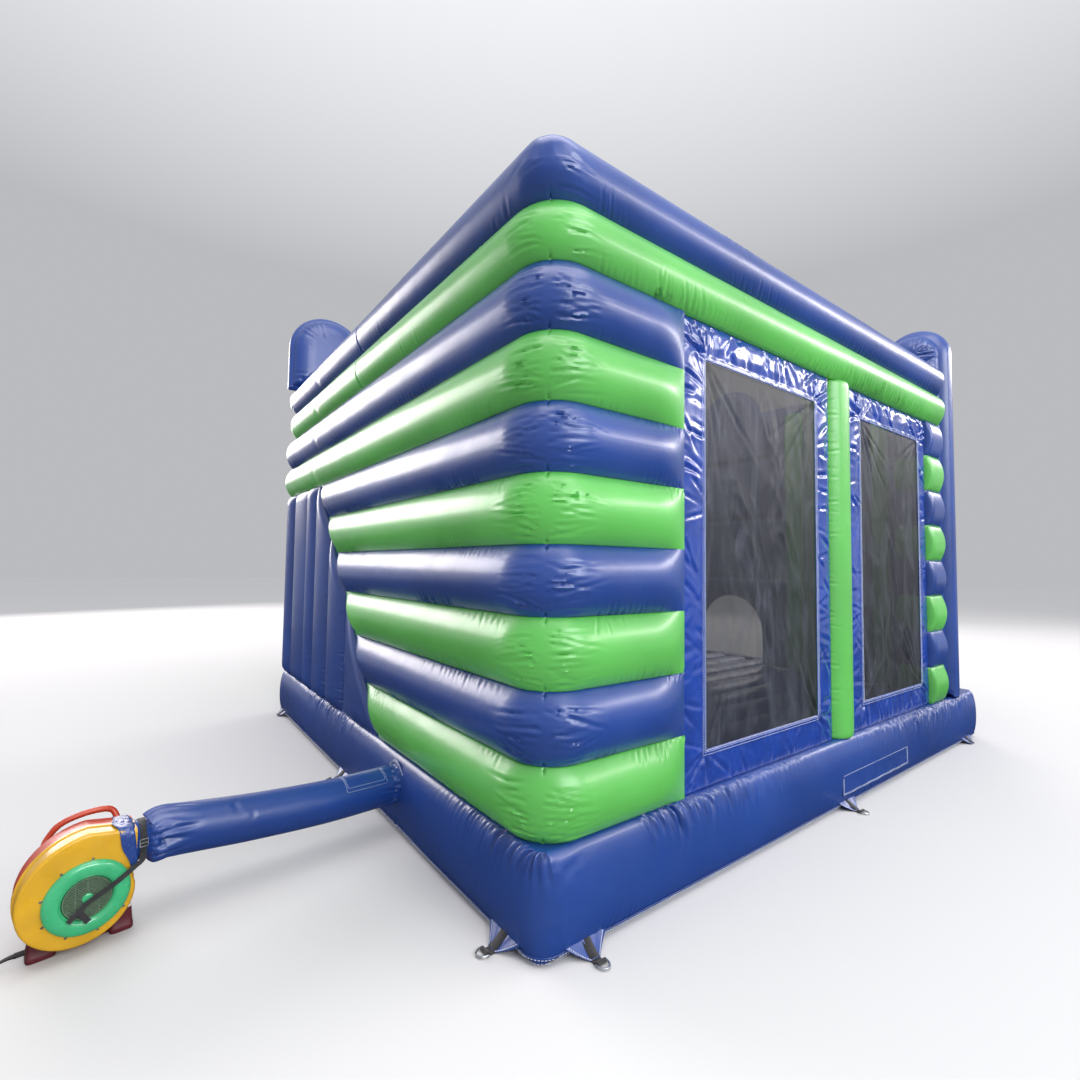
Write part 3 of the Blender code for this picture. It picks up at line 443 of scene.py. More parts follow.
def folds(across, along, creases):
    """How far each point of a grid moves for a list of creases.

    across and along are the grid's own distances in metres. A crease is (across, along,
    direction, length, width, depth): a valley with a ridge on each side that runs out with
    distance from where it starts."""
    moved = np.zeros_like(across)
    for a0, z0, way, length, width, depth in creases:
        near = (np.abs(across - a0) < length + 4 * width) & (np.abs(along - z0) < length + 4 * width)
        if not near.any():
            continue
        da, dz = across[near] - a0, along[near] - z0
        x = da * cos(way) + dz * sin(way)
        y = (-da * sin(way) + dz * cos(way)) / width
        share = np.clip(x / length, 0, 1)
        taper = np.minimum(share / 0.12, 1.0) * (1 - share) * (x > 0)
        moved[near] -= depth * taper * (1 - y * y) * np.exp(-0.5 * y * y)
    return moved


def gathers(start, end, level, way, spacing, length, depth, width=0.008, clusters=None):
    """Short creases side by side along a seam, all running the same way from it."""
    made = []
    place = start
    while place < end:
        strength = 1.0
        if clusters is not None:
            strength = max(0.0, sin(place * clusters[0] + clusters[1]) + clusters[2])
        if strength > 0.15:
            reach = length * RANDOM.uniform(0.5, 1.3) * min(1.0, 0.5 + strength / 2)
            made.append((place, level, way + RANDOM.normal(0, 0.12), reach,
                         width * RANDOM.uniform(0.8, 1.3), depth * strength * RANDOM.uniform(0.5, 1.2)))
        place += spacing * RANDOM.uniform(0.6, 1.5)
    return made


def arc_rows(height, swell, count):
    """Heights and swellings across a tube's face, on one round arc."""
    radius = (height * height / 4 + swell * swell) / (2 * swell)
    half = np.arcsin(height / 2 / radius)
    angle = np.linspace(-half, half, count)
    return height / 2 + radius * np.sin(angle), radius * np.cos(angle) - (radius - swell)


# ---------------------------------------------------------------- wall tubes

CORNER_TIGHT, CORNER_WIDE = 0.18, 0.29  # the corner's radius at a seam and at a tube's middle
TOP_CORNER, CREST_CORNER, INNER_CORNER = 0.20, 0.045, 0.04  # the same round the top ring, outside to inside
INNER_SWELL = 0.03
FACE_ROWS, INNER_ROWS = 41, 7
PINCH_DEPTH, PINCH_WIDTH = 0.12, 0.05
NICK_DEPTH, NICK_WIDTH, NICK_REACH = 0.009, 0.006, 0.030  # the corner seam, drawn in beside each tube's edge


def tube_loop(height, top=False):
    """The closed outline across a wall tube: (offset, height, corner radius) and its face rows."""
    z, swell = arc_rows(height, WALL_OUT, FACE_ROWS)
    radius = CORNER_TIGHT + (CORNER_WIDE - CORNER_TIGHT) * (swell / WALL_OUT)
    if top:
        radius = np.minimum(radius, TOP_CORNER)
    outer = list(zip(swell, z, radius))
    if top:
        outer = outer[:(FACE_ROWS + 1) // 2]
        for step in range(1, 15):
            angle = pi * step / 15
            reach = WALL / 2 + (WALL_OUT if angle < pi / 2 else INNER_SWELL)
            offset = reach * np.sign(cos(angle)) * abs(cos(angle)) ** 0.8 - WALL / 2
            wide = TOP_CORNER + (CREST_CORNER - TOP_CORNER) * min(1.0, step / 6)
            outer.append((offset, height / 2 + height / 2 * sin(angle) ** 0.8, wide))
        return outer + [(-WALL - INNER_SWELL * f, height / 2 * f, INNER_CORNER) for f in (1.0, 0.6, 0.0)], \
            len(outer)
    z, swell = arc_rows(height, INNER_SWELL, INNER_ROWS)
    return outer + [(-WALL - s, h, INNER_CORNER) for s, h in zip(swell[::-1], z[::-1])], len(outer)


def on_wall(wall, floor, e, n, offsets, heights):
    """Points at distances e along and n out of a wall, and how far each is round the tube."""
    points = np.zeros((*e.shape, 3))
    origin, along, out = (np.array(v, float) for v in wall)
    for axis in range(2):
        points[..., axis] = origin[axis] + along[axis] * e + out[axis] * n
    points[..., 2] = floor + heights
    climb = np.concatenate([[0], np.cumsum(np.hypot(np.diff(offsets), np.diff(heights)))])
    return points, np.broadcast_to(climb, e.shape)


def wall_tube(loop, floor, wall, end, spacing, pillow, corner_columns, pinch, flare):
    """A tube from a corner's diagonal along a wall. end gives its length at each height.

    Returns the grid of points, and the distances along and up the tube."""
    offsets, heights, radii = (np.array(v) for v in zip(*loop))
    lengths = end(heights + floor)
    straight = max(6, int(max(lengths) / spacing))
    e = np.zeros((corner_columns + straight, len(loop)))
    n = np.zeros_like(e)
    travel = np.zeros_like(e)
    for k in range(corner_columns):
        angle = pi / 4 + pi / 4 * k / corner_columns
        e[k] = radii - offsets - radii * cos(angle)
        n[k] = offsets - radii + radii * sin(angle)
        travel[k] = radii * (angle - pi / 4)
    start = radii - offsets
    share = np.linspace(0, 1, straight)[:, None]
    e[corner_columns:] = start + (lengths - start) * share
    n[corner_columns:] = offsets
    travel[corner_columns:] = radii * pi / 4 + (lengths - start) * share
    left = np.clip((lengths - e) / pillow, 0, 1)
    full = flare * np.sin(pi / 2 * left) + (1 - flare) * np.sqrt(1 - (1 - left) ** 2)
    if pinch:
        full *= 1 - PINCH_DEPTH * np.exp(-((e - pinch) / PINCH_WIDTH) ** 2)
    points, climb = on_wall(wall, floor, e, np.where(n > 0, n * full, n), offsets, heights)
    return points, travel, climb


def corner_creases(height, count):
    """Creases that fan out from the corner's seam over a tube's face."""
    made = []
    for _ in range(count):
        z = RANDOM.uniform(0.06, 0.94) * height
        lean = (z / height - 0.5) * -0.4 + RANDOM.normal(0, 0.11)
        start = RANDOM.uniform(0.0, 0.10)
        made.append((start, z + lean * start, lean, RANDOM.uniform(0.08, 0.26),
                     RANDOM.uniform(0.0045, 0.009), RANDOM.uniform(0.0018, 0.0062)))
    return made


def face_creases(length, height, spacing_low, spacing_high, strength=1.0):
    """Puckers along the lower and upper seam of a tube."""
    phase = RANDOM.uniform(0, 6)
    low = gathers(0.25, length, 0.0, pi / 2, spacing_low * 0.7, 0.09, 0.0075 * strength, 0.008,
                  (RANDOM.uniform(3, 5), phase, 0.25))
    high = gathers(0.25, length, height, -pi / 2, spacing_high * 0.7, 0.08, 0.0065 * strength, 0.008,
                   (RANDOM.uniform(3, 5), phase + 2, 0.15))
    return low + high


def finish_tube(points, travel, climb, face_rows, creases, outward):
    """Adds the creases to a tube's face and pulls its corner seam in a little."""
    face = slice(0, face_rows)
    normal = normals_of(points[:, face])
    if (normal * np.array(outward)).sum() < 0:
        normal = -normal
    shift = folds(travel[:, face], climb[:, face], creases)
    from_seam = np.minimum(climb[:, face], climb[0, face_rows - 1] - climb[:, face])
    shift -= NICK_DEPTH * np.exp(-(travel[:, face] / NICK_WIDTH) ** 2 - (from_seam / NICK_REACH) ** 2)
    shift[:, 0] = shift[:, -1] = 0.0
    points[:, face] += normal * shift[..., None]
    return points


WINDOW_FRAME = ((LEFT, BACK, 0), (0, -1, 0), (-1, 0, 0))
BACK_FRAME = ((LEFT, BACK, 0), (1, 0, 0), (0, 1, 0))
SLIDE_FRAME = ((RIGHT, BACK, 0), (0, -1, 0), (1, 0, 0))
BACK_RIGHT_FRAME = ((RIGHT, BACK, 0), (-1, 0, 0), (0, 1, 0))


def ramp_line(z):
    """Where the tower's slope is along the back wall at height z."""
    return RAMP_FOOT + (z - BASE_H) * (RAMP_TOP - RAMP_FOOT) / (PLATFORM_Z - BASE_H)


def tube_piece(skin, floor, height, wall, end, spacing, material, creases, pillow, top=False, pinch=None,
               corner=26, flare=0.0):
    """One wall tube with its creases, added to a skin."""
    loop, rows = tube_loop(height, top)
    points, travel, climb = wall_tube(loop, floor, wall, end, spacing, pillow, corner, pinch, flare)
    points = finish_tube(points, travel, climb, rows, creases, np.array(wall[2]) + (0, 0, 0.001))
    skin.tube(points, material)


def make_back_wall():
    """The tubes under the ring; the lower ones stop on the tower's slope."""
    for number in range(3, 11):
        floor = RING_BOTTOM - (number - 2) * TUBE_H
        green = number % 2 == 0
        name = f"back_tube_{number}_{'green' if green else 'blue'}"
        whole = floor > PLATFORM_Z - 0.01
        end = (lambda z: np.full_like(z, RIGHT - LEFT)) if whole else (lambda z: ramp_line(z) - LEFT)
        creases = corner_creases(TUBE_H, 30) + face_creases(4.4, TUBE_H + 0.04, 0.05, 0.05)
        skin = Skin()
        tube_piece(skin, floor, TUBE_H, BACK_FRAME, end, 0.014, GREEN if green else BLUE, creases,
                   pinch=PINCH_X - LEFT if whole else None, pillow=0.03 if whole else 0.16,
                   flare=0.0 if whole else 0.8)
        skin.make(f"wall_{name}", HOUSE, name, "green_vinyl" if green else "blue_vinyl", sharp=65)


def make_ring():
    """The two tubes round the top, in three lengths each."""
    for colour, material, floor, height, top in (
            ("blue", BLUE, RING_MIDDLE, RING_TOP - RING_MIDDLE, True),
            ("green", GREEN, RING_BOTTOM, RING_MIDDLE - RING_BOTTOM, False)):
        side_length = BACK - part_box(f"top_tube_{colour}_window_side")[0][1]
        slide_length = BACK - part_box(f"top_tube_{colour}_slide_side")[0][1]
        wide = (RIGHT - LEFT) / 2 + 0.001
        over_windows = [] if top else gathers(0.6, side_length, 0.0, pi / 2, 0.020, 0.12, 0.0085,
                                              0.0075, (2.2, 1.0, 0.9))
        for name, length, walls, spacing in (
                ("window_side", side_length, (WINDOW_FRAME,), 0.009),
                ("back", wide, (BACK_FRAME, BACK_RIGHT_FRAME), 0.014),
                ("slide_side", slide_length, (SLIDE_FRAME,), 0.018)):
            skin = Skin()
            for wall in walls:
                creases = corner_creases(height, 8) + face_creases(length, height, 0.07, 0.07, 0.8)
                creases += over_windows if name == "window_side" else []
                pinch = PINCH_X - LEFT if wall is BACK_FRAME else None
                if wall is BACK_RIGHT_FRAME:
                    pinch = RIGHT - PINCH_X
                tube_piece(skin, floor, height, wall, lambda z: np.full_like(z, length), spacing,
                           material, creases, top=top, pinch=pinch,
                           pillow=0.0001 if name == "back" else 0.06)
            skin.make(f"ring_{colour}_{name}", HOUSE, f"top_tube_{colour}_{name}", f"{colour}_vinyl",
                      weld=0.002 if name == "back" else 0.0, sharp=65)


def lower_tubes():
    """Each banded tube's number, foot and material, from the mattress up."""
    for number in range(LOWER_TUBES):
        yield number, BASE_H + number * TUBE_H, BLUE if number % 2 else GREEN


def make_corner_panel():
    """The banded panel between the near corner and the windows."""
    skin = Skin()
    for number, floor, material in lower_tubes():
        creases = corner_creases(TUBE_H, 30)
        creases += face_creases(BACK - CORNER_END, TUBE_H + 0.04, 0.028 if number < 2 else 0.06, 0.06,
                                1.3 if number < 2 else 0.8)
        tube_piece(skin, floor, TUBE_H, WINDOW_FRAME, lambda z: np.full_like(z, BACK - CORNER_END),
                   0.0085, material, creases, corner=28, pillow=0.26, flare=0.8)
    skin.make("corner_panel", HOUSE, "corner_panel_window_side", "blue_vinyl", sharp=65)


def straight_tube(skin, floor, wall, length, material, spacing, creases, swells=WALL_OUT):
    """A wall tube between two flat ends, both rounded off."""
    rows, pillow = 13, 0.035
    z, swell = arc_rows(TUBE_H, swells, rows)
    back_z, back_swell = arc_rows(TUBE_H, INNER_SWELL, INNER_ROWS)
    heights = np.concatenate([z, back_z[::-1]])
    e = np.linspace(0, length, max(8, int(length / spacing)))[:, None] * np.ones(len(heights))
    edge = np.clip(np.minimum(e, length - e) / pillow, 0, 1)
    offsets = np.concatenate([swell, np.zeros(INNER_ROWS)])
    n = offsets * np.sqrt(1 - (1 - edge) ** 2) - np.concatenate([np.zeros(rows), WALL + back_swell[::-1]])
    points, climb = on_wall(wall, floor, e, n, offsets, heights)
    past_nick = 1.0  # these ends have no corner seam
    creases = [(a + past_nick, *rest) for a, *rest in creases]
    skin.tube(finish_tube(points, e + past_nick, climb, rows, creases, wall[2]), material)


def make_column():
    """The banded stub at the front end of the window side."""
    skin = Skin()
    low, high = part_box("front_banded_column")
    length = high[1] - low[1]
    for _, floor, material in lower_tubes():
        creases = gathers(0.02, length, 0.0, pi / 2, 0.03, 0.06, 0.005)
        creases += gathers(0.02, length, TUBE_H, -pi / 2, 0.03, 0.05, 0.004)
        straight_tube(skin, floor, ((LEFT, high[1], 0), (0, -1, 0), (-1, 0, 0)), length, material, 0.009,
                      creases, swells=0.045)
    skin.make("banded_column", HOUSE, "front_banded_column", "blue_vinyl")


def make_slide_wall():
    """The outer wall beside the slide, banded like the rest."""
    skin = Skin()
    low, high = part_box("slide_side_wall")
    length = high[1] - low[1] + WALL
    for _, floor, material in lower_tubes():
        straight_tube(skin, floor, ((RIGHT, low[1], 0), (0, 1, 0), (1, 0, 0)), length, material, 0.018,
                      face_creases(length, TUBE_H, 0.06, 0.06))
    skin.make("slide_wall", HOUSE, "slide_side_wall", "blue_vinyl")


# ---------------------------------------------------------------- seams and stitches

def stitches(skin, line, out, length=0.009, gap=0.005, width=0.0022, height=0.0012):
    """A row of threads along a line of points that stand just off a surface."""
    line = np.asarray(line, float)
    steps = np.linalg.norm(np.diff(line, axis=0), axis=1)
    total = np.concatenate([[0], np.cumsum(steps)])
    starts = np.arange(gap, total[-1] - length, length + gap)
    if not len(starts):
        return
    ends = [np.stack([np.interp(at, total, line[:, k]) for k in range(3)], 1)
            for at in (starts, starts + length)]
    out = np.broadcast_to(np.asarray(out, float), (len(line), 3)) if np.ndim(out) == 1 else out
    up = np.stack([np.interp(starts, total, out[:, k]) for k in range(3)], 1)
    along = ends[1] - ends[0]
    side = np.cross(up, along)
    side *= width / 2 / np.maximum(np.linalg.norm(side, axis=1, keepdims=True), 1e-9)
    corners = []
    for end in ends:
        corners += [end - side - up * height, end - side * 0.6 + up * height,
                    end + side * 0.6 + up * height, end + side - up * height]
    points = np.stack(corners, 1).reshape(-1, 3)
    faces = []
    for k in range(len(starts)):
        b = 8 * k
        faces += [(b, b + 1, b + 5, b + 4), (b + 1, b + 2, b + 6, b + 5), (b + 2, b + 3, b + 7, b + 6),
                  (b, b + 3, b + 2, b + 1), (b + 4, b + 5, b + 6, b + 7), (b, b + 4, b + 7, b + 3)]
    skin.add(points, faces, THREAD)


# ---------------------------------------------------------------- mattress

def superellipse(count, low, high, swell):
    """Heights and swellings of a full rounded side from low to high."""
    power = 2.15
    angle = np.linspace(0, pi, count)
    lift = np.sign(np.cos(angle)) * np.abs(np.cos(angle)) ** (2 / power)
    middle, half = (low + high) / 2, (high - low) / 2
    return middle - half * lift, swell * np.sin(angle) ** (2 / power)


def around(out, radius, counts):
    """A rounded rectangle round the mattress: its points and their outward ways."""
    corner = 18
    sides = (((LEFT, BACK), (0, -1), (-1, 0), DEPTH, counts[0]),
             ((LEFT, FRONT), (1, 0), (0, -1), WIDTH, counts[1]),
             ((RIGHT, FRONT), (0, 1), (1, 0), DEPTH, counts[2]),
             ((RIGHT, BACK), (-1, 0), (0, 1), WIDTH, counts[3]))
    points, ways = [], []
    for start, along, facing, length, count in sides:
        start, along, facing = (np.array(v, float) for v in (start, along, facing))
        inset = radius - out
        for share in np.linspace(0, 1, count):
            points.append(start + along * (inset + (length - 2 * inset) * share) + facing * out)
            ways.append(facing)
        centre = start + along * (length - inset) - facing * inset
        for step in range(1, corner):
            angle = pi / 2 * step / corner
            way = facing * cos(angle) + along * sin(angle)
            points.append(centre + way * radius)
            ways.append(way)
    return np.array(points), np.array(ways)


def mattress_radius(out):
    """The mattress's corner radius where its side stands this far out."""
    return 0.022 + 0.085 * out / BASE_BULGE


def make_mattress():
    """The mattress with its gathered edges and ribbed top, and the hem round its foot."""
    skin = Skin()
    z, swell = superellipse(25, 0.006, BASE_H, BASE_BULGE + 0.016)
    counts = (460, 120, 120, 400)
    rows = []
    for height, out in zip(z, swell):
        ring, ways = around(out, mattress_radius(out), counts)
        rows.append(np.column_stack([ring, np.full(len(ring), height)]))
    points = np.stack(rows, 1)
    outward = np.column_stack([ways, np.zeros(len(ways))])
    steps = np.linalg.norm(np.diff(points[:, 11], axis=0), axis=1)
    travel = np.concatenate([[0], np.cumsum(steps)])[:, None] * np.ones(len(z))
    climb = np.broadcast_to(np.concatenate([[0], np.cumsum(np.hypot(np.diff(z), np.diff(swell)))]),
                            travel.shape)
    top = climb[0, -1]
    side_end = travel[counts[0] - 1, 0]
    back_start = travel[len(travel) - counts[3] - 17, 0]
    whole = travel[-1, 0]
    creases = gathers(0.5, side_end, top, -pi / 2, 0.024, 0.17, 0.0170, 0.0100, (1.9, 0.4, 1.1))
    creases += gathers(0.1, side_end, 0.0, pi / 2, 0.035, 0.10, 0.0060, 0.009, (2.6, 1.4, 0.6))
    creases += gathers(back_start, whole, top, -pi / 2, 0.026, 0.15, 0.0130, 0.0095, (2.3, 2.0, 0.7))
    creases += gathers(back_start, whole, 0.0, pi / 2, 0.030, 0.12, 0.0080, 0.009, (2.9, 0.6, 0.7))
    for place in (0.0, whole):
        for _ in range(16):
            creases.append(crease(place, RANDOM.uniform(0.08, 0.4), 0 if place == 0 else pi, 0.25,
                                  (0.06, 0.2), 0.012, 0.005))
    shift = folds(travel, climb, creases)
    shift[:, 0] = shift[:, -1] = 0
    points += outward[:, None, :] * shift[..., None]
    skin.grid(points, BLUE, closed=(True, False))
    under = [points[:, 0]] + [np.column_stack([around(-d, 0.04, counts)[0], np.full(len(points), h)])
                              for d, h in ((0.002, 0.003), (0.02, 0.0), (0.6, 0.0))]
    skin.grid(np.stack(under, 1), BLUE, closed=(True, False), flip=True)
    over = [points[:, -1]] + [np.column_stack([around(-d, 0.03, counts)[0], np.full(len(points), h)])
                              for d, h in ((0.02, 0.4195), (0.10, 0.418))]
    skin.grid(np.stack(over, 1), BLUE, closed=(True, False))
    x = np.linspace(LEFT + 0.10, RIGHT - 0.10, 260)
    y = np.linspace(FRONT + 0.10, BACK - 0.10, 120)
    bed = np.zeros((len(x), len(y), 3))
    bed[..., 0], bed[..., 1] = x[:, None], y[None, :]
    rib = 4.2 / 14
    bed[..., 2] = 0.372 + 0.048 * np.sqrt(np.abs(np.sin(pi * (x - x[0]) / rib)))[:, None]
    skin.grid(bed, BLUE)
    skin.make("mattress", HOUSE, "base_mattress", "blue_vinyl")

    trim = Skin()

    def hem_line(height, stand):
        out = float(np.interp(height, z, swell)) + stand
        line, ways = around(out, mattress_radius(out) + 0.004, counts)
        level = np.full(len(line), height)
        return np.column_stack([line, level]), np.column_stack([ways, np.zeros(len(ways))])

    hem = [hem_line(*at)[0] for at in ((0.004, 0.0045), (0.005, 0.0075), (0.040, 0.0065), (0.042, 0.003))]
    trim.grid(np.stack(hem, 1), BLUE, closed=(True, False))
    for height in (0.012, 0.033):
        stitches(trim, *hem_line(height, 0.0078))
    trim.make("mattress_hem", HOUSE, slot="blue_vinyl")


# ---------------------------------------------------------------- tower panel

def make_tower_panel():
    """Upright tubes at the back of the climbing tower, cut off by the ramp's slope."""
    seams = (-0.48, 0.27, 0.69, 1.11, 1.39, 1.92, 2.20)
    skin = Skin()
    for left, right in zip(seams, seams[1:]):
        count = int((right - left) / 0.012)
        x = np.linspace(left + (0.03 if left < -0.4 else 0), right, count)
        swell = arc_rows(right - left, 0.063 if left > -0.4 else 0.045, count)[1]
        swell = np.interp(x, np.linspace(left, right, count), swell)
        top = np.minimum(PLATFORM_Z - 0.001, BASE_H + (x - RAMP_FOOT) * (PLATFORM_Z - BASE_H)
                         / (RAMP_TOP - RAMP_FOOT) - 0.004)
        z = BASE_H + 0.0003 + (top - BASE_H)[:, None] * np.linspace(0, 1, 150)[None, :]
        edge = np.minimum(top[:, None] - z, z - BASE_H)
        edge = np.clip(edge / 0.10, 0, 1)
        out = swell[:, None] * np.sqrt(1 - (1 - edge) ** 2)
        creases = []
        for seam, way in ((left, 0.0), (right, pi)):
            for height in np.arange(BASE_H + 0.05, float(top.max()), 0.05):
                if RANDOM.random() < 0.6:
                    creases.append(crease(seam, height + RANDOM.normal(0, 0.02), way, 0.3, (0.04, 0.10),
                                          0.008, (0.003, 0.006)))
        for place in np.arange(left + 0.02, right, 0.03):
            creases.append(crease(place, BASE_H, pi / 2, 0.15, (0.05, 0.12), 0.008, (0.003, 0.007)))
        wide = np.broadcast_to(x[:, None], z.shape)
        shift = folds(wide, z, creases)
        shift[0] = shift[-1] = 0
        shift[:, 0] = shift[:, -1] = 0
        front = np.stack([wide, BACK + out + shift, z], 2)
        inner = np.stack([wide[:, ::-1], np.full_like(z, BACK - WALL + 0.0005), z[:, ::-1]], 2)
        skin.tube(np.concatenate([front, inner[:, ::12]], 1), BLUE)
    skin.make("tower_panel", HOUSE, "tower_back_panel", "blue_vinyl")


# ---------------------------------------------------------------- windows

def crumple(y, z, seed, size):
    """Sharp-edged crinkles from a few turned wave fronts, from 0 to about 1."""
    waves = np.random.default_rng(seed)
    total = np.zeros_like(y)
    bend_y = 0.35 * size * np.sin(z / size * 0.9 + waves.uniform(0, 6))
    bend_z = 0.35 * size * np.sin(y / size * 1.1 + waves.uniform(0, 6))
    for octave in range(3):
        scale = size / 1.9 ** octave
        layer = np.zeros_like(y)
        for _ in range(4):
            angle, phase = waves.uniform(0, pi), waves.uniform(0, 6)
            across = cos(angle) * (y + bend_y) + sin(angle) * (z + bend_z)
            layer += np.sin(across / scale * 2 * pi + phase)
        total += (1 - np.abs(layer) / 2.2) / 1.7 ** octave
        bend_y, bend_z = bend_y + 0.2 * scale * layer / 4, bend_z - 0.2 * scale * layer / 4
    return np.clip(total / 2.2, -0.5, 1.2)


HEM_W = 0.034
CLOTH_STEP = 0.0085
NET_LINES = (130, 220)  # grid lines of the cloth across the net's opening


def opening_lines(low, start, end, high, count):
    """Grid lines from low to high, with some exactly on an opening's two edges."""
    return np.concatenate([np.linspace(low, start, int((start - low) / CLOTH_STEP)),
                           np.linspace(start, end, count)[1:-1],
                           np.linspace(end, high, int((high - end) / CLOTH_STEP))])


def window_creases(low, high, net_low, net_high):
    """Creases that pull from the net's corners, and from every seam of the cloth and the net."""
    creases = []
    for corner_y, corner_z in ((net_low[1], net_low[2]), (net_high[1], net_low[2]),
                               (net_low[1], net_high[2]), (net_high[1], net_high[2])):
        away = np.arctan2(corner_z - (net_low[2] + net_high[2]) / 2, corner_y - (low[1] + high[1]) / 2)
        creases += [crease(corner_y, corner_z, away, 0.7, (0.15, 0.5), (0.008, 0.016), (0.006, 0.016))
                    for _ in range(9)]
    for edge_y, way in ((low[1], 0.0), (high[1], pi), (net_low[1], pi), (net_high[1], 0.0)):
        for height in np.arange(low[2] + 0.05, high[2], 0.12):
            upper_share = (height - low[2]) / (high[2] - low[2])
            creases.append(crease(edge_y, height + RANDOM.normal(0, 0.03), way, 0.7, (0.08, 0.26),
                                  (0.010, 0.020), (0.004, 0.014), 0.35 + upper_share))
    for edge_z, way, strength in ((low[2], pi / 2, 0.5), (high[2], -pi / 2, 1.3),
                                  (net_low[2], -pi / 2, 0.5), (net_high[2], pi / 2, 1.2)):
        for place in np.arange(low[1] + 0.04, high[1], 0.15):
            creases.append(crease(place + RANDOM.normal(0, 0.02), edge_z, way, 0.6, (0.14, 0.34),
                                  (0.014, 0.026), (0.004, 0.013), strength))
    return creases


def make_window(name, seed):
    """A loose panel with a net sewn into its opening, and the hem round the net."""
    low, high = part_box(f"{name}_window_panel")
    net_low, net_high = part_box(f"{name}_window_net")
    x = (low[0] + high[0]) / 2
    y, z = (opening_lines(low[k], net_low[k], net_high[k], high[k], NET_LINES[k - 1]) for k in (1, 2))
    yy, zz = np.meshgrid(y, z, indexing="ij")
    outside_y = np.maximum(net_low[1] - yy, yy - net_high[1])
    outside_z = np.maximum(net_low[2] - zz, zz - net_high[2])
    from_net = np.hypot(np.maximum(outside_y, 0), np.maximum(outside_z, 0))
    from_edge = np.minimum(np.minimum(yy - low[1], high[1] - yy), np.minimum(zz - low[2], high[2] - zz))
    free = np.clip(from_edge / 0.05, 0, 1) * (0.25 + 0.75 * np.clip((from_net - HEM_W) / 0.05, 0, 1))
    upper = 0.30 + 0.70 * np.clip((zz - low[2]) / (high[2] - low[2]) * 1.6 - 0.5, 0, 1)
    out = 0.020 * crumple(yy, zz * 0.8, seed, 0.75) * free * upper
    creases = window_creases(low, high, net_low, net_high)
    out += folds(yy, zz, creases) * np.clip(from_edge / 0.02, 0, 1) * (0.4 + 0.6 * free)
    out = np.where(from_net < HEM_W, 0.4 * out + 0.004, out)
    slope_y, slope_z = np.gradient(out, y, axis=0), np.gradient(out, z, axis=1)
    centre_y, centre_z = (yy[:-1, :-1] + yy[1:, 1:]) / 2, (zz[:-1, :-1] + zz[1:, 1:]) / 2
    hole = ((centre_y > net_low[1]) & (centre_y < net_high[1]) &
            (centre_z > net_low[2]) & (centre_z < net_high[2]))
    skin = Skin()
    skin.grid(np.stack([x - out, yy, zz], 2), LOOSE, skip=hole)
    panel = skin.make(f"{name}_window_cloth", HOUSE, f"{name}_window_panel", "window_vinyl", solid=0.0015)

    trim = Skin()
    for inset in (0.006, 0.013, 0.027):
        a, b = net_low[1] - inset, net_high[1] + inset
        c, d = net_low[2] - inset, net_high[2] + inset
        loop_y = np.concatenate([np.linspace(a, b, 150), np.full(250, b), np.linspace(b, a, 150),
                                 np.full(250, a)])
        loop_z = np.concatenate([np.full(150, c), np.linspace(c, d, 250), np.full(150, d),
                                 np.linspace(d, c, 250)])
        i = np.clip(np.searchsorted(y, loop_y), 0, len(y) - 1)
        j = np.clip(np.searchsorted(z, loop_z), 0, len(z) - 1)
        way = np.stack([-np.ones(len(i)), -slope_y[i, j], -slope_z[i, j]], 1)
        way /= np.linalg.norm(way, axis=1, keepdims=True)
        stitches(trim, np.stack([x - out[i, j] - 0.0022, loop_y, loop_z], 1), way)
    seams = trim.make(f"{name}_window_stitches", HOUSE, slot="window_vinyl")

    ny, nz = np.meshgrid(np.linspace(net_low[1], net_high[1], 90), np.linspace(net_low[2], net_high[2], 160),
                         indexing="ij")
    rim = np.minimum(np.minimum(ny - net_low[1], net_high[1] - ny),
                     np.minimum(nz - net_low[2], net_high[2] - nz))
    drape = 0.016 * np.clip(rim / 0.25, 0, 1) * (crumple(ny, nz * 0.45, seed + 5, 0.42) - 0.3)
    pulls = []
    for corner_y, corner_z, way in ((net_low[1], net_high[2], -1.0), (net_high[1], net_high[2], -2.1),
                                    (net_low[1], net_low[2], 1.1), (net_high[1], net_low[2], 2.0)):
        pulls += [crease(corner_y, corner_z, way, 0.3, (0.3, 0.9), 0.016, 0.007) for _ in range(5)]
    drape += folds(ny, nz, pulls) * np.clip(rim / 0.03, 0, 1)
    net = Skin()
    net.grid(np.stack([x - 0.001 - drape, ny, nz], 2), NET)
    cloth = net.make(f"{name}_net", HOUSE, f"{name}_window_net", "black_mesh")


def make_post():
    """The green tube between the windows."""
    low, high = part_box("window_post")
    middle, half = ([(b + sign * a) / 2 for a, b in zip(low, high)] for sign in (1, -1))
    z = np.linspace(low[2], high[2], 260)
    angle = full_turn(48)
    mean_r = 0.155
    edge = np.clip(np.minimum(z - low[2], high[2] - z) / 0.05, 0, 1)
    full = 0.93 + 0.07 * np.sqrt(1 - (1 - edge) ** 2)
    travel = np.broadcast_to(angle * mean_r, (len(z), len(angle)))
    climb = np.broadcast_to(z[:, None], travel.shape)
    creases = []
    for height in np.arange(low[2], high[2], 0.030):
        for seam, way in ((pi / 2 * mean_r, 0.0), (3 * pi / 2 * mean_r, pi)):
            creases.append(crease(seam, height + RANDOM.normal(0, 0.01), way, 0.12, (0.07, 0.18), 0.008,
                                  (0.004, 0.010)))
    shift = folds(travel, climb, creases)
    skin = Skin()
    skin.tube(np.stack([middle[0] + (half[0] * 0.86 * full[:, None] + shift) * np.cos(angle),
                        middle[1] + (half[1] * full[:, None] + shift) * np.sin(angle), climb], 2), GREEN)
    skin.make("post_tube", HOUSE, "window_post", "green_vinyl")


# ---------------------------------------------------------------- inflated slabs

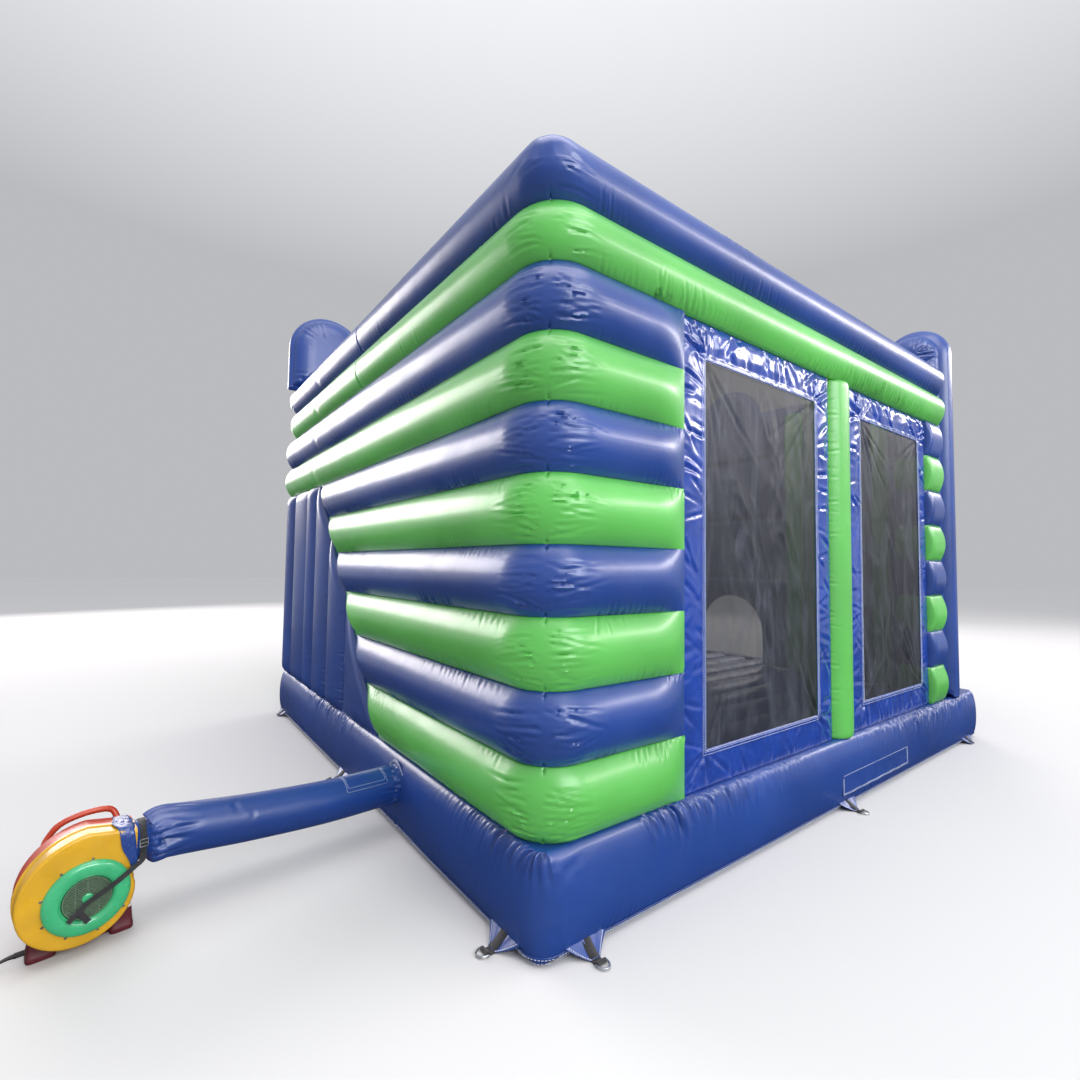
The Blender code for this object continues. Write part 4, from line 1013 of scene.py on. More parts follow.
def resample(outline, step):
    """A closed outline with points no further apart than step."""
    points = []
    for a, b in zip(outline, outline[1:] + outline[:1]):
        count = max(1, int(hypot(b[0] - a[0], b[1] - a[1]) / step + 0.5))
        points += [(a[0] + (b[0] - a[0]) * k / count, a[1] + (b[1] - a[1]) * k / count)
                   for k in range(count)]
    return np.array(points)


def outward_ways(points):
    """Unit ways out of a closed outline that runs anticlockwise."""
    along = np.roll(points, -1, 0) - np.roll(points, 1, 0)
    way = np.stack([along[:, 1], -along[:, 0]], 1)
    return way / np.maximum(np.linalg.norm(way, axis=1, keepdims=True), 1e-9)


def anticlockwise(outline):
    """A closed outline, turned round if it runs clockwise."""
    area = sum(a[0] * b[1] - b[0] * a[1] for a, b in zip(outline, outline[1:] + outline[:1]))
    return outline if area > 0 else outline[::-1]


def round_off(points, passes):
    """Softens an outline's corners, drawing it in a very little."""
    for _ in range(passes):
        points = points * 0.5 + (np.roll(points, 1, 0) + np.roll(points, -1, 0)) * 0.25
    return points


def place(plane, across, up, off):
    """Points of a plane, given by its two axes, at distances off it."""
    order = {"XZ": (across, off, up), "YZ": (off, across, up), "XY": (across, up, off)}[plane]
    return np.stack(np.broadcast_arrays(*order), -1)


def from_outline(points, outline):
    """Each point's distance to a closed outline, and how far along the outline that is."""
    a, b = outline, np.roll(outline, -1, 0)
    edge = b - a
    length = np.maximum((edge ** 2).sum(1), 1e-12)
    best = np.full(len(points), 1e9)
    where = np.zeros(len(points))
    total = np.concatenate([[0], np.cumsum(np.sqrt(length))])
    for k in range(len(a)):
        share = np.clip(((points - a[k]) @ edge[k]) / length[k], 0, 1)
        far = np.hypot(*(points - a[k] - share[:, None] * edge[k]).T)
        near = far < best
        best = np.where(near, far, best)
        where = np.where(near, total[k] + share * sqrt(length[k]), where)
    return best, where


def slab(skin, outline, plane, middle, thickness, material, step=0.026, soft=0.12, rim=0.45, seams=(),
         pucker=0.006, rounding=2):
    """An inflated flat form: full in the middle, drawn in to a rounded rim, quilted at its seams."""
    outline = round_off(resample(anticlockwise(list(outline)), step), rounding)
    inset = rim * thickness / 2 * 0.8
    ways = outward_ways(outline)
    outline = outline - ways * inset
    low, high = outline.min(0), outline.max(0)
    gx = np.arange(low[0] + step / 2, high[0], step)
    gy = np.arange(low[1] + step / 2, high[1], step * 0.9)
    grid = np.array([(x + (step / 2 if k % 2 else 0), y) for k, y in enumerate(gy) for x in gx])
    far, _ = from_outline(grid, outline)
    inside = np.zeros(len(grid), bool)
    for a, b in zip(outline, np.roll(outline, -1, 0)):
        crosses = (a[1] > grid[:, 1]) != (b[1] > grid[:, 1])
        if crosses.any():
            at = a[0] + (grid[:, 1] - a[1]) * (b[0] - a[0]) / (b[1] - a[1] + 1e-15)
            inside ^= crosses & (grid[:, 0] < at)
    inner = grid[inside & (far > step * 0.6)]
    count = len(outline)
    every = [Vector(p) for p in np.concatenate([outline, inner])]
    edges = [(k, (k + 1) % count) for k in range(count)]
    verts, _, faces, origin, _, _ = delaunay_2d_cdt(every, edges, [], 1, 1e-6)
    flat = np.array([(v.x, v.y) for v in verts])
    rim_at = {}
    for k, sources in enumerate(origin):
        for source in sources:
            if source < count:
                rim_at[source] = k
    far, along = from_outline(flat, outline)
    share = np.clip(far / soft, 0, 1)
    half = thickness / 2 * (rim + (1 - rim) * np.sqrt(1 - (1 - share) ** 2))
    for axis, at, depth, wide in seams:
        groove = depth * np.exp(-((flat[:, axis] - at) / wide) ** 2)
        half -= thickness / 2 * groove * np.minimum(share * 2, 1)
    around_it = np.hypot(*(np.roll(outline, -1, 0) - outline).T).sum()
    creases = gathers(0.0, around_it, 0.0, pi / 2, 0.030, soft * 1.1, pucker, max(0.010, step * 0.8),
                      (9.0, 1.0, 0.8))
    half += folds(along, far, creases) * np.minimum(1, far / 0.01)
    total = len(flat)
    skin.add(np.concatenate([place(plane, flat[:, 0], flat[:, 1], middle + half),
                             place(plane, flat[:, 0], flat[:, 1], middle - half)]),
             [tuple(f) for f in faces] + [tuple(total + i for i in reversed(f)) for f in faces], material)
    edge_half = np.array([half[rim_at.get(k, 0)] for k in range(count)])
    rows = []
    for lift in np.linspace(-1, 1, 9):
        out = inset * sqrt(max(0.0, 1 - abs(lift) ** 2.4))
        rows.append(place(plane, outline[:, 0] + ways[:, 0] * out, outline[:, 1] + ways[:, 1] * out,
                          middle + edge_half * lift))
    skin.grid(np.stack(rows, 1), material, closed=(True, False))


def loft(skin, outline, plane, stations, material, step=0.025, soft=0.05, seams=(), rounding=3):
    """An inflated form of one outline all along, rounded at both ends and drawn in at its seams."""
    outline = round_off(resample(anticlockwise(list(outline)), step), rounding)
    ways = outward_ways(outline)
    start, end = stations
    at = np.concatenate([start + soft * (1 - np.cos(np.linspace(0, pi / 2, 6)))[:-1],
                         np.linspace(start + soft, end - soft, max(4, int((end - start) / 0.03))),
                         end - soft * (1 - np.cos(np.linspace(pi / 2, 0, 6)))[1:]])
    rows = []
    for off in at:
        near = min(1.0, min(off - start, end - off) / soft)
        drawn = soft * (1 - sqrt(max(0.0, 1 - (1 - near) ** 2)))
        for seam, depth, wide in seams:
            drawn += depth * float(np.exp(-((off - seam) / wide) ** 2))
        rows.append(place(plane, outline[:, 0] - ways[:, 0] * drawn, outline[:, 1] - ways[:, 1] * drawn,
                          np.full(len(outline), off)))
    skin.tube(np.stack(rows, 0), material)


def arc_points(centre, radius, start, end, steps):
    """Points on an arc, from one angle in degrees to another."""
    return [(centre[0] + radius * cos(radians(start + (end - start) * k / steps)),
             centre[1] + radius * sin(radians(start + (end - start) * k / steps)))
            for k in range(steps + 1)]


def tombstone(left, right, low, top):
    """A round-topped outline."""
    radius = (right - left) / 2
    return [(left, low), (right, low)] + arc_points(((left + right) / 2, top - radius), radius, 0, 180, 28)


def make_facade():
    """The front: pillar, plain panel, entrance arch and slide arch, each an inflated slab."""
    low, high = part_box("front_left_pillar")
    middle = (low[1] + high[1]) / 2
    skin = Skin()
    slab(skin, tombstone(low[0], high[0], BASE_H, high[2]), "XZ", middle, high[1] - low[1], BLUE,
         step=0.011, soft=0.17, rim=0.42, pucker=0.014, rounding=1)
    skin.make("pillar", HOUSE, "front_left_pillar", "blue_vinyl")

    low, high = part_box("facade_left_panel")
    middle, thick = (low[1] + high[1]) / 2, high[1] - low[1]
    skin = Skin()
    seams = [(0, low[0] + (high[0] - low[0]) * k / 4, 0.42, 0.020) for k in range(1, 4)]
    slab(skin, [(low[0], BASE_H), (high[0], BASE_H), (high[0], high[2]), (low[0], high[2])], "XZ",
         middle, thick, BLUE, seams=seams, rounding=1)
    skin.make("front_panel", HOUSE, "facade_left_panel", "blue_vinyl")

    low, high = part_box("entrance_arch")
    door_x, door_half, spring = 0.02, 0.42, 0.78
    shoulder, crown_r, crown_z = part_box("facade_left_panel")[1][2], 0.40, 3.30
    crown = arc_points((door_x, crown_z), crown_r, 8, 172, 24)
    door = arc_points((door_x, spring), door_half, 180, 0, 24)
    outline = [(high[0], BASE_H), (high[0], shoulder)] + crown + [
        (low[0], shoulder), (low[0], BASE_H), (door_x - door_half, BASE_H)] + door + [
        (door_x + door_half, BASE_H)]
    skin = Skin()
    seams = [(0, door_x - 0.62, 0.45, 0.02), (0, door_x + 0.62, 0.45, 0.02), (1, 2.1, 0.35, 0.02),
             (1, 1.42, 0.35, 0.02), (1, 2.78, 0.35, 0.02)]
    slab(skin, outline, "XZ", middle, thick, BLUE, seams=seams, soft=0.10, rounding=1)
    skin.make("entrance", HOUSE, "entrance_arch", "blue_vinyl")

    low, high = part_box("slide_exit_arch")
    exit_low, exit_high, spring, head_r = 1.17, 1.97, 1.50, 0.56
    centre = (low[0] + high[0]) / 2
    shoulder = high[2] - head_r
    head = arc_points((centre, shoulder), head_r, 7, 173, 28)
    hole = arc_points(((exit_low + exit_high) / 2, spring), (exit_high - exit_low) / 2, 180, 0, 24)
    outline = [(high[0], BASE_H), (high[0], shoulder)] + head + [
        (low[0], shoulder), (low[0], BASE_H), (exit_low, BASE_H)] + hole + [(exit_high, BASE_H)]
    skin = Skin()
    slab(skin, outline, "XZ", middle, thick, BLUE, seams=[(1, 2.2, 0.35, 0.02), (1, 2.75, 0.35, 0.02)],
         soft=0.09, rounding=1)
    skin.make("slide_exit", HOUSE, "slide_exit_arch", "blue_vinyl")


def upright_tube(name, x, y, radius, low, high, material):
    """A standing tube sewn to the front's inner or outer face."""
    z = np.linspace(low, high, 150)
    edge = np.clip(np.minimum(z - low, high - z) / 0.09, 0, 1)
    full = 0.25 + 0.75 * np.sqrt(1 - (1 - edge) ** 2)
    angle = full_turn(28)
    shift = 0.004 * np.sin(z[:, None] * 60 + 3 * np.sin(z[:, None] * 9)) * np.abs(np.cos(angle)) ** 3
    points = np.stack([x + (radius[0] * full[:, None] + shift) * np.cos(angle),
                       y + radius[1] * full[:, None] * np.sin(angle),
                       np.broadcast_to(z[:, None], shift.shape)], 2)
    skin = Skin()
    skin.tube(points, material)
    skin.make(name, HOUSE, slot="green_vinyl")


def make_green_trim():
    """Green tubes up both faces of the front, beside the pillar and each side of the door."""
    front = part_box("entrance_arch")[0][1]
    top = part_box("facade_left_panel")[1][2] - 0.12
    for number, x in enumerate((-1.72, -0.85, 0.90)):
        upright_tube(f"inner_trim_{number + 1}", x, FACADE_BACK, (0.10, 0.055), BASE_H, top, GREEN)
    for number, x in enumerate((-0.85, 0.90)):
        upright_tube(f"outer_trim_{number + 1}", x, front + 0.01, (0.10, 0.050), BASE_H, top, GREEN)


# ---------------------------------------------------------------- ramp, slide and crown

def make_tower():
    """The climbing ramp with its steps, the platform, the slide, the wall beside it and the crown."""
    rise, run = PLATFORM_Z - BASE_H, RAMP_TOP - RAMP_FOOT
    length = hypot(rise, run)
    way, up = (run / length, rise / length), (-rise / length, run / length)
    thick = 0.25
    low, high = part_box("climb_ramp")
    face = [(RAMP_FOOT + thick / way[1], BASE_H), (RAMP_FOOT + 0.01, BASE_H)]
    for number in range(5):
        start = length * (number + 0.55) / 5.4
        for along, proud in ((0, 0), (0.015, 0.06), (0.05, 0.09), (0.09, 0.085), (0.13, 0)):
            face.append((RAMP_FOOT + way[0] * (start + along) + up[0] * proud,
                         BASE_H + way[1] * (start + along) + up[1] * proud))
    face += [(RAMP_TOP - 0.002, PLATFORM_Z), (RAMP_TOP - 0.002, PLATFORM_Z - thick / way[0])]
    skin = Skin()
    middle = (low[1] + high[1]) / 2
    loft(skin, face, "XZ", (low[1], high[1]), GREEN, step=0.018, soft=0.06,
         seams=[(middle + k * 0.44, 0.014, 0.018) for k in (-1, 0, 1)])
    skin.make("ramp", HOUSE, "climb_ramp", "green_vinyl")

    low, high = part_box("platform")
    skin = Skin()
    loft(skin, [(low[1], low[2]), (high[1], low[2]), (high[1], high[2]), (low[1], high[2])], "YZ",
         (low[0], high[0]), BLUE, soft=0.06, rounding=5,
         seams=[(low[0] + (high[0] - low[0]) * k / 3, 0.016, 0.02) for k in (1, 2)])
    skin.make("tower_platform", HOUSE, "platform", "blue_vinyl")

    low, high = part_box("slide_bed")
    foot = (-1.55, 0.70)
    outline = [(high[1], high[2]), (foot[0] + 0.30, foot[1] + 0.20), foot, (low[1], BASE_H + 0.17),
               (low[1], BASE_H), (foot[0] + 0.25, BASE_H), (high[1], high[2] - 0.30)]
    skin = Skin()
    loft(skin, outline, "YZ", (low[0], high[0]), GREEN, soft=0.05, rounding=4,
         seams=[(low[0] + (high[0] - low[0]) * k / 4, 0.012, 0.016) for k in (1, 2, 3)])
    skin.make("slide", HOUSE, "slide_bed", "green_vinyl")

    low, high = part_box("divider_wall")
    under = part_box("platform")[0][2] - 0.06
    inner_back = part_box("climb_ramp")[1][1]
    tower_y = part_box("climb_ramp")[0][1]
    outline = [(inner_back, BASE_H), (inner_back, under), (tower_y, under), (tower_y, 2.95), (0.60, 2.95),
               (low[1], 1.45), (low[1], BASE_H)]
    skin = Skin()
    slab(skin, outline, "YZ", (low[0] + high[0]) / 2, high[0] - low[0], BLUE, soft=0.08,
         seams=[(1, BASE_H + 0.30 * k, 0.30, 0.018) for k in range(1, 9)])
    skin.make("divider", HOUSE, "divider_wall", "blue_vinyl")

    low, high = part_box("rear_right_crown")
    skin = Skin()
    slab(skin, tombstone(low[1], high[1], low[2], high[2]), "YZ", (low[0] + high[0]) / 2,
         high[0] - low[0], BLUE, step=0.018, soft=0.20, rim=0.3, pucker=0.006, rounding=1)
    skin.make("crown", HOUSE, "rear_right_crown", "blue_vinyl")


# ---------------------------------------------------------------- flap and anchors

ZIP_Z = 0.160


def make_flap():
    """The flap over the deflation zip, its stitches, and the zip on its tape behind it."""
    low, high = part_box("deflation_flap")
    y = np.linspace(low[1], high[1], 150)
    z = np.linspace(low[2], high[2], 22)
    yy, zz = np.meshgrid(y, z, indexing="ij")
    drop = (high[2] - zz) / (high[2] - low[2])
    wave = (0.0016 * np.sin(yy * 34) + 0.0012 * crumple(yy, zz, 3, 0.07)) * drop
    x = (low[0] + high[0]) / 2 - 0.0015 * drop - wave
    skin = Skin()
    skin.grid(np.stack([x, yy, zz], 2), BLUE)
    flap = skin.make("flap_cloth", "flap", "deflation_flap", "blue_vinyl", solid=0.0016)
    trim = Skin()
    for inset in (0.006, 0.013):
        line = [(low[1] + inset, high[2] - inset), (low[1] + inset, low[2] + inset),
                (high[1] - inset, low[2] + inset), (high[1] - inset, high[2] - inset)]
        dense = []
        for a, b in zip(line, line[1:]):
            count = max(2, int(hypot(b[0] - a[0], b[1] - a[1]) / 0.01))
            dense += [(a[0] + (b[0] - a[0]) * k / count, a[1] + (b[1] - a[1]) * k / count)
                      for k in range(count + 1)]
        dense = np.array(dense)
        i = np.clip(np.searchsorted(y, dense[:, 0]), 0, len(y) - 1)
        j = np.clip(np.searchsorted(z, dense[:, 1]), 0, len(z) - 1)
        stitches(trim, np.stack([x[i, j] - 0.0012, dense[:, 0], dense[:, 1]], 1), (-1, 0, 0))
    hinge = np.stack([np.full(len(y), low[0] + 0.001), y, np.full(len(y), high[2] - 0.006)], 1)
    stitches(trim, hinge, (-1, 0, 0))
    stitched = trim.make("flap_stitches", "flap", slot="blue_vinyl")

    strip = Skin()
    face = LEFT - BASE_BULGE - 0.0005
    rail = np.linspace(low[1] + 0.02, high[1] - 0.02, 120)
    wide, thick = 0.016, 0.0012
    strip.grid(np.stack([np.stack([np.full(120, face - t), rail, np.full(120, ZIP_Z + h)], 1)
                         for h, t in ((-wide, 0.0), (-wide, thick), (wide, thick), (wide, 0.0))], 1), WEB)
    for side in (-1, 1):
        teeth = np.stack([np.full(400, face - 0.002), np.linspace(low[1] + 0.03, high[1] - 0.03, 400),
                          np.full(400, ZIP_Z + side * 0.0022)], 1)
        stitches(strip, teeth, (-1, 0, 0), length=0.0022, gap=0.0022, width=0.0050, height=0.0012)
    strip.make("zip_tape", HOUSE, slot="black_webbing")


def make_anchors():
    """Fabric tabs with a webbing strip; four lead to the rings, two are further ones."""
    spots = (((-2.02, BACK), 90), ((LEFT, 2.30), 180), ((LEFT, 0.07), 180), ((0.07, BACK), 90),
             ((LEFT, -2.21), 180), ((2.04, BACK), 90))
    rows, columns, strip_rows = 18, 15, 26
    for number, ((x, y), heading) in enumerate(spots, 1):
        out = np.array([cos(radians(heading)), sin(radians(heading)), 0])
        side = np.array([-out[1], out[0], 0])
        points = np.zeros((rows, columns, 3))
        for i in range(rows):
            left = 1 - i / (rows - 1)
            reach = BASE_BULGE * 0.55 + 0.075 * (1 - left)
            wide = 0.105 * left ** 1.15 + 0.026
            for j in range(columns):
                across = (j / (columns - 1) * 2 - 1) * wide
                ripple = 0.004 * sin(j * 2.1 + number) * left * (1 - abs(across) / 0.14)
                points[i, j] = (x, y, 0.058 * left ** 1.5 + 0.0075 + ripple) + out * reach + side * across
        skin = Skin()
        skin.grid(points, BLUE)
        for edge in (1, columns - 2):
            stitches(skin, points[:, edge] + (0, 0, 0.0018), (0, 0, 1), length=0.006, gap=0.004)
        skin.make(f"anchor_tab_{number}", HOUSE, slot="blue_vinyl", solid=0.0018)
        at = np.linspace(0, rows - 1, strip_rows)
        middle = np.stack([np.interp(at, range(rows), points[:, columns // 2, k]) for k in range(3)], 1)
        strip = Skin()
        strip.grid(np.stack([middle + side * across + (0, 0, lift) for across, lift in (
            (-0.0225, 0.0022), (-0.0215, 0.0048), (0.0215, 0.0048), (0.0225, 0.0022))], 1), WEB)
        strip.make(f"anchor_strip_{number}", HOUSE, slot="black_webbing", solid=0.0008)


# ---------------------------------------------------------------- tubes along a line

def smooth_line(points, steps):
    """A smooth line through the points, with steps pieces between each two."""
    ends = [np.array(p, float) for p in points]
    ends = [2 * ends[0] - ends[1]] + ends + [2 * ends[-1] - ends[-2]]
    line = []
    for a, b, c, d in zip(ends, ends[1:], ends[2:], ends[3:]):
        for step in range(steps):
            t = step / steps
            line.append(0.5 * (2 * b + (c - a) * t + (2 * a - 5 * b + 4 * c - d) * t ** 2
                               + (3 * b - a - 3 * c + d) * t ** 3))
    return np.array(line + [ends[-2]])


def rings(line, sides):
    """Ways out of a line, in a ring at each of its points, and the distance along it."""
    along = np.gradient(line, axis=0)
    along /= np.linalg.norm(along, axis=1, keepdims=True)
    across = np.cross(along, (0.0, 0.0, 1.0))
    across /= np.maximum(np.linalg.norm(across, axis=1, keepdims=True), 1e-9)
    lift = np.cross(across, along)
    angle = full_turn(sides)
    ways = np.cos(angle)[None, :, None] * across[:, None] + np.sin(angle)[None, :, None] * lift[:, None]
    travel = np.concatenate([[0], np.cumsum(np.linalg.norm(np.diff(line, axis=0), axis=1))])
    return ways, travel, angle


def round_tube(skin, line, radius, material, sides):
    """A round rod along a line, with its own radius at each point."""
    skin.tube(line[:, None] + rings(line, sides)[0] * radius[:, None, None], material)


def band(skin, line, out, width, thick, material):
    """A flat webbing band along a line, its face turned to out."""
    along = np.gradient(line, axis=0)
    out = np.broadcast_to(np.array(out, float), line.shape)
    side = np.cross(along, out)
    side /= np.linalg.norm(side, axis=1, keepdims=True)
    face = np.cross(side, along)
    face /= np.linalg.norm(face, axis=1, keepdims=True)
    rows = [line + side * w * width / 2 + face * t * thick / 2
            for w, t in ((-1, -0.6), (-1, 0.6), (-0.9, 1), (0.9, 1), (1, 0.6), (1, -0.6), (0.9, -1),
                         (-0.9, -1))]
    skin.tube(np.stack(rows, 1), material)


# ---------------------------------------------------------------- blower

BLOWER_PLACE = Matrix.Translation((-1.04, 3.90, 0.225)) @ Matrix.Rotation(radians(8), 4, "Z")
SCROLL_R = (0.150, 0.235)
OUTLET_Y, OUTLET_Z = -0.150, (0.055, 0.207)
COVER_FACE, SPLIT, HOUSING_BACK = -0.105, -0.020, 0.070
DUCT_X, DUCT_Z = -0.0175, 0.131
NOZZLE_R = 0.072
CUFF_R = NOZZLE_R + 0.0028
INTAKE_R, SCREW_R, GRILLE_R = 0.118, 0.140, 0.0755


def from_blower(points):
    """Points of the blower's own frame in the house's frame."""
    turn = np.array(BLOWER_PLACE.to_3x3())
    return np.asarray(points, float) @ turn.T + np.array(BLOWER_PLACE.translation)


def blower_way(way):
    """A direction of the blower's frame in the house's frame."""
    return from_blower([way])[0] - np.array(BLOWER_PLACE.translation)


def scroll(shrink):
    """The scroll's outline in (y, z), drawn in by shrink."""
    points, steps = [], 90
    for step in range(steps + 1):
        angle = radians(270 * step / steps)
        radius = SCROLL_R[0] + (SCROLL_R[1] - SCROLL_R[0]) * step / steps - shrink
        points.append((-radius * cos(angle), -radius * sin(angle)))
    low, top = OUTLET_Z[0] + shrink, OUTLET_Z[1] - shrink
    start = points[-1]
    for k in range(1, 25):
        points.append((OUTLET_Y * k / 24, start[1] + (top - start[1]) * k / 24))
    for k in range(1, 17):
        points.append((OUTLET_Y, top + (low - top) * k / 16))
    for k in range(1, 4):
        points.append((OUTLET_Y + (-SCROLL_R[0] + shrink + 0.02 - OUTLET_Y) * k / 3, low))
    return np.array(points)


def shell_rows(rows):
    """A grid from (x, outline) pairs in the blower's frame."""
    return from_blower(np.stack([np.column_stack([np.full(len(line), x), line]) for x, line in rows], 0))


def circle_like(outline, radius):
    """A circle with a point for each of an outline's, at the same angle."""
    angle = np.arctan2(outline[:, 1], outline[:, 0])
    return np.stack([np.cos(angle), np.sin(angle)], 1) * radius


def spun(profile, place_x, steps=96, flute=None, axis="x"):
    """A turned form about the blower's shaft or its outlet, from (radius, distance) points."""
    angle = full_turn(steps)
    rows = []
    for radius, off in profile:
        r = np.full(steps, radius)
        if flute and flute[0] <= off <= flute[1]:
            r = r - flute[2] * (np.cos(angle * flute[3]) > 0.3)
        if axis == "x":
            rows.append(np.stack([np.full(steps, place_x + off), r * np.cos(angle), r * np.sin(angle)], 1))
        else:
            rows.append(np.stack([DUCT_X + r * np.cos(angle), np.full(steps, place_x - off),
                                  DUCT_Z + r * np.sin(angle)], 1))
    return from_blower(np.stack(rows, 0))


def knob(skin, profile, x, way, y, z, steps, material):
    """A small round head or foot on the blower's face, from (radius, distance) points."""
    turn = full_turn(steps)
    rows = [np.stack([np.full(steps, x + way * off), y + r * np.cos(turn), z + r * np.sin(turn)], 1)
            for r, off in profile]
    skin.tube(from_blower(np.stack(rows, 0)), material)


def slat(skin, section, count, x, ends, across, offset):
    """A bar of the grille, straight along y or z, with a section of (forward, sideways) points."""
    run = np.linspace(-ends, ends, count)
    rows = []
    for forward, sideways in section:
        point = [np.full(count, x - forward), run, run]
        point[across] = np.full(count, offset + sideways)
        rows.append(np.stack(point, 1))
    skin.tube(from_blower(np.stack(rows, 1)), SLATS)


def blend_outline(outline, share, radius):
    """An outline part of the way in to a circle."""
    return outline * share + circle_like(outline, radius) * (1 - share)


def make_housing():
    """The scroll's yellow cover and red housing, with the intake ring and its grille."""
    outer, wide = scroll(0.0), scroll(-0.005)
    mouth = circle_like(outer, INTAKE_R)
    cover = [(COVER_FACE + 0.008, mouth), (COVER_FACE, mouth)]
    face = scroll(0.012)
    for share in (0.2, 0.4, 0.6, 0.8):
        cover.append((COVER_FACE, blend_outline(face, share, INTAKE_R)))
    for angle in np.linspace(0, pi / 2, 6):
        cover.append((COVER_FACE + 0.012 * (1 - cos(angle)), scroll(0.012 * (1 - sin(angle)))))
    cover += [(SPLIT - 0.014, outer), (SPLIT - 0.011, wide), (SPLIT - 0.0012, wide), (SPLIT, scroll(0.001)),
              (SPLIT, scroll(0.006)), (COVER_FACE + 0.02, scroll(0.006))]
    skin = Skin()
    skin.tube(shell_rows(cover), YELLOW, caps=False)
    for angle in range(15, 375, 40):
        if 100 < angle % 360 < 185:
            continue
        head = ((0.0042, 0.0), (0.0048, 0.0012), (0.0044, 0.0024), (0.0016, 0.0026), (0.0012, 0.0016),
                (0.0, 0.0016))
        knob(skin, head, COVER_FACE, -1, SCREW_R * cos(radians(angle)), SCREW_R * sin(radians(angle)), 14,
             STEEL)
    skin.make("scroll_cover", HOUSE, "volute_cover", "yellow_plastic", sharp=40)

    back = scroll(0.012)
    housing = [(COVER_FACE + 0.085, scroll(0.006)), (SPLIT + 0.0003, scroll(0.006)), (SPLIT + 0.0003, wide),
               (SPLIT + 0.010, wide), (SPLIT + 0.013, outer)]
    for angle in np.linspace(pi / 2, 0, 6):
        housing.append((HOUSING_BACK - 0.012 * (1 - cos(angle)), scroll(0.012 * (1 - sin(angle)))))
    for share in (0.8, 0.6, 0.4, 0.2, 0.0):
        depth = 0.0022 if share in (0.6, 0.4) else 0.0
        housing.append((HOUSING_BACK - depth, blend_outline(back, share, 0.022)))
    skin = Skin()
    skin.tube(shell_rows(housing), RED, caps=False)
    skin.make("scroll_housing", HOUSE, "volute_housing", "red_plastic", sharp=40)

    skin = Skin()
    face = COVER_FACE - 0.0003
    arc = [(0.106 + 0.029 * cos(a), 0.021 * sin(a) ** 0.8) for a in np.linspace(0.02, pi - 0.02, 18)]
    profile = [(0.135, 0.0)] + arc + [(0.0765, 0.010), (0.0765, 0.0)]
    skin.tube(spun([(r, -h) for r, h in profile], face), MINT, caps=False)
    skin.tube(spun([(0.0823, -0.0165), (0.0835, -0.0179), (0.0847, -0.0165)], face), MINT, caps=False)
    skin.make("mint_ring", HOUSE, "intake_ring", "mint_plastic", sharp=50)

    skin = Skin()
    rim = [(GRILLE_R, -0.004), (GRILLE_R, -0.009), (GRILLE_R - 0.004, -0.009), (GRILLE_R - 0.004, -0.004)]
    skin.grid(spun(rim, face, 72), SLATS, closed=(True, True))
    louvre = ((0, -0.0010), (0.0035, -0.0016), (0.0040, 0.0), (0.0035, 0.0010), (0, 0.0014))
    for number in range(-11, 12):
        z = number * 0.0064
        slat(skin, louvre, 12, face - 0.0045, sqrt(GRILLE_R ** 2 - z ** 2) - 0.002, 2, z)
    stay = ((0, -0.0016), (0.003, -0.0016), (0.003, 0.0016), (0, 0.0016))
    for number in (-1, 0, 1):
        y = number * 0.036
        slat(skin, stay, 10, face - 0.0035, sqrt(GRILLE_R ** 2 - y ** 2) - 0.003, 1, y)
    cap = [(0.0175, -0.006), (0.0175, -0.0105), (0.0155, -0.0130), (0.010, -0.0142), (0.0002, -0.0146)]
    skin.tube(spun(cap, face, 40), MINT, caps=False)
    skin.make("grille", HOUSE, "intake_grille", "dark_plastic", sharp=50)


def squared(turn, power):
    """A round ring's two coordinates pushed out towards a square."""
    return [np.sign(f(turn)) * np.abs(f(turn)) ** power for f in (np.cos, np.sin)]


def make_stand():
    """Two rounded feet and a low rail between them, under the scroll."""
    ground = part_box("blower_stand")[0][2] - BLOWER_PLACE.translation.z
    skin = Skin()
    for y0, y1 in ((0.075, 0.165), (-0.165, -0.085)):
        rows = []
        shape_x, shape_y = squared(full_turn(48), 0.35)
        for height, scale in ((0.0, 0.80), (0.0, 0.96), (0.004, 1.0), (0.020, 1.0), (0.024, 0.95),
                              (0.050, 0.90), (0.085, 0.82)):
            x = 0.0325 + 0.0525 * scale * shape_x
            y = (y0 + y1) / 2 + (y1 - y0) / 2 * scale * shape_y
            under = -np.sqrt((0.191 if y0 > 0 else 0.168) ** 2 - y ** 2) - 0.001
            z = np.minimum(ground + height, under)
            rows.append(np.stack([x, y, z], 1))
        skin.tube(from_blower(np.stack(rows, 0)), MAROON)
    rail = np.array([(x, y, ground + z) for x in (0.012, 0.054) for y in (-0.100, 0.095)
                     for z in (0.001, 0.022)])
    skin.block(from_blower(rail), MAROON)
    skin.make("blower_feet", HOUSE, "blower_stand", "maroon_plastic", sharp=50)


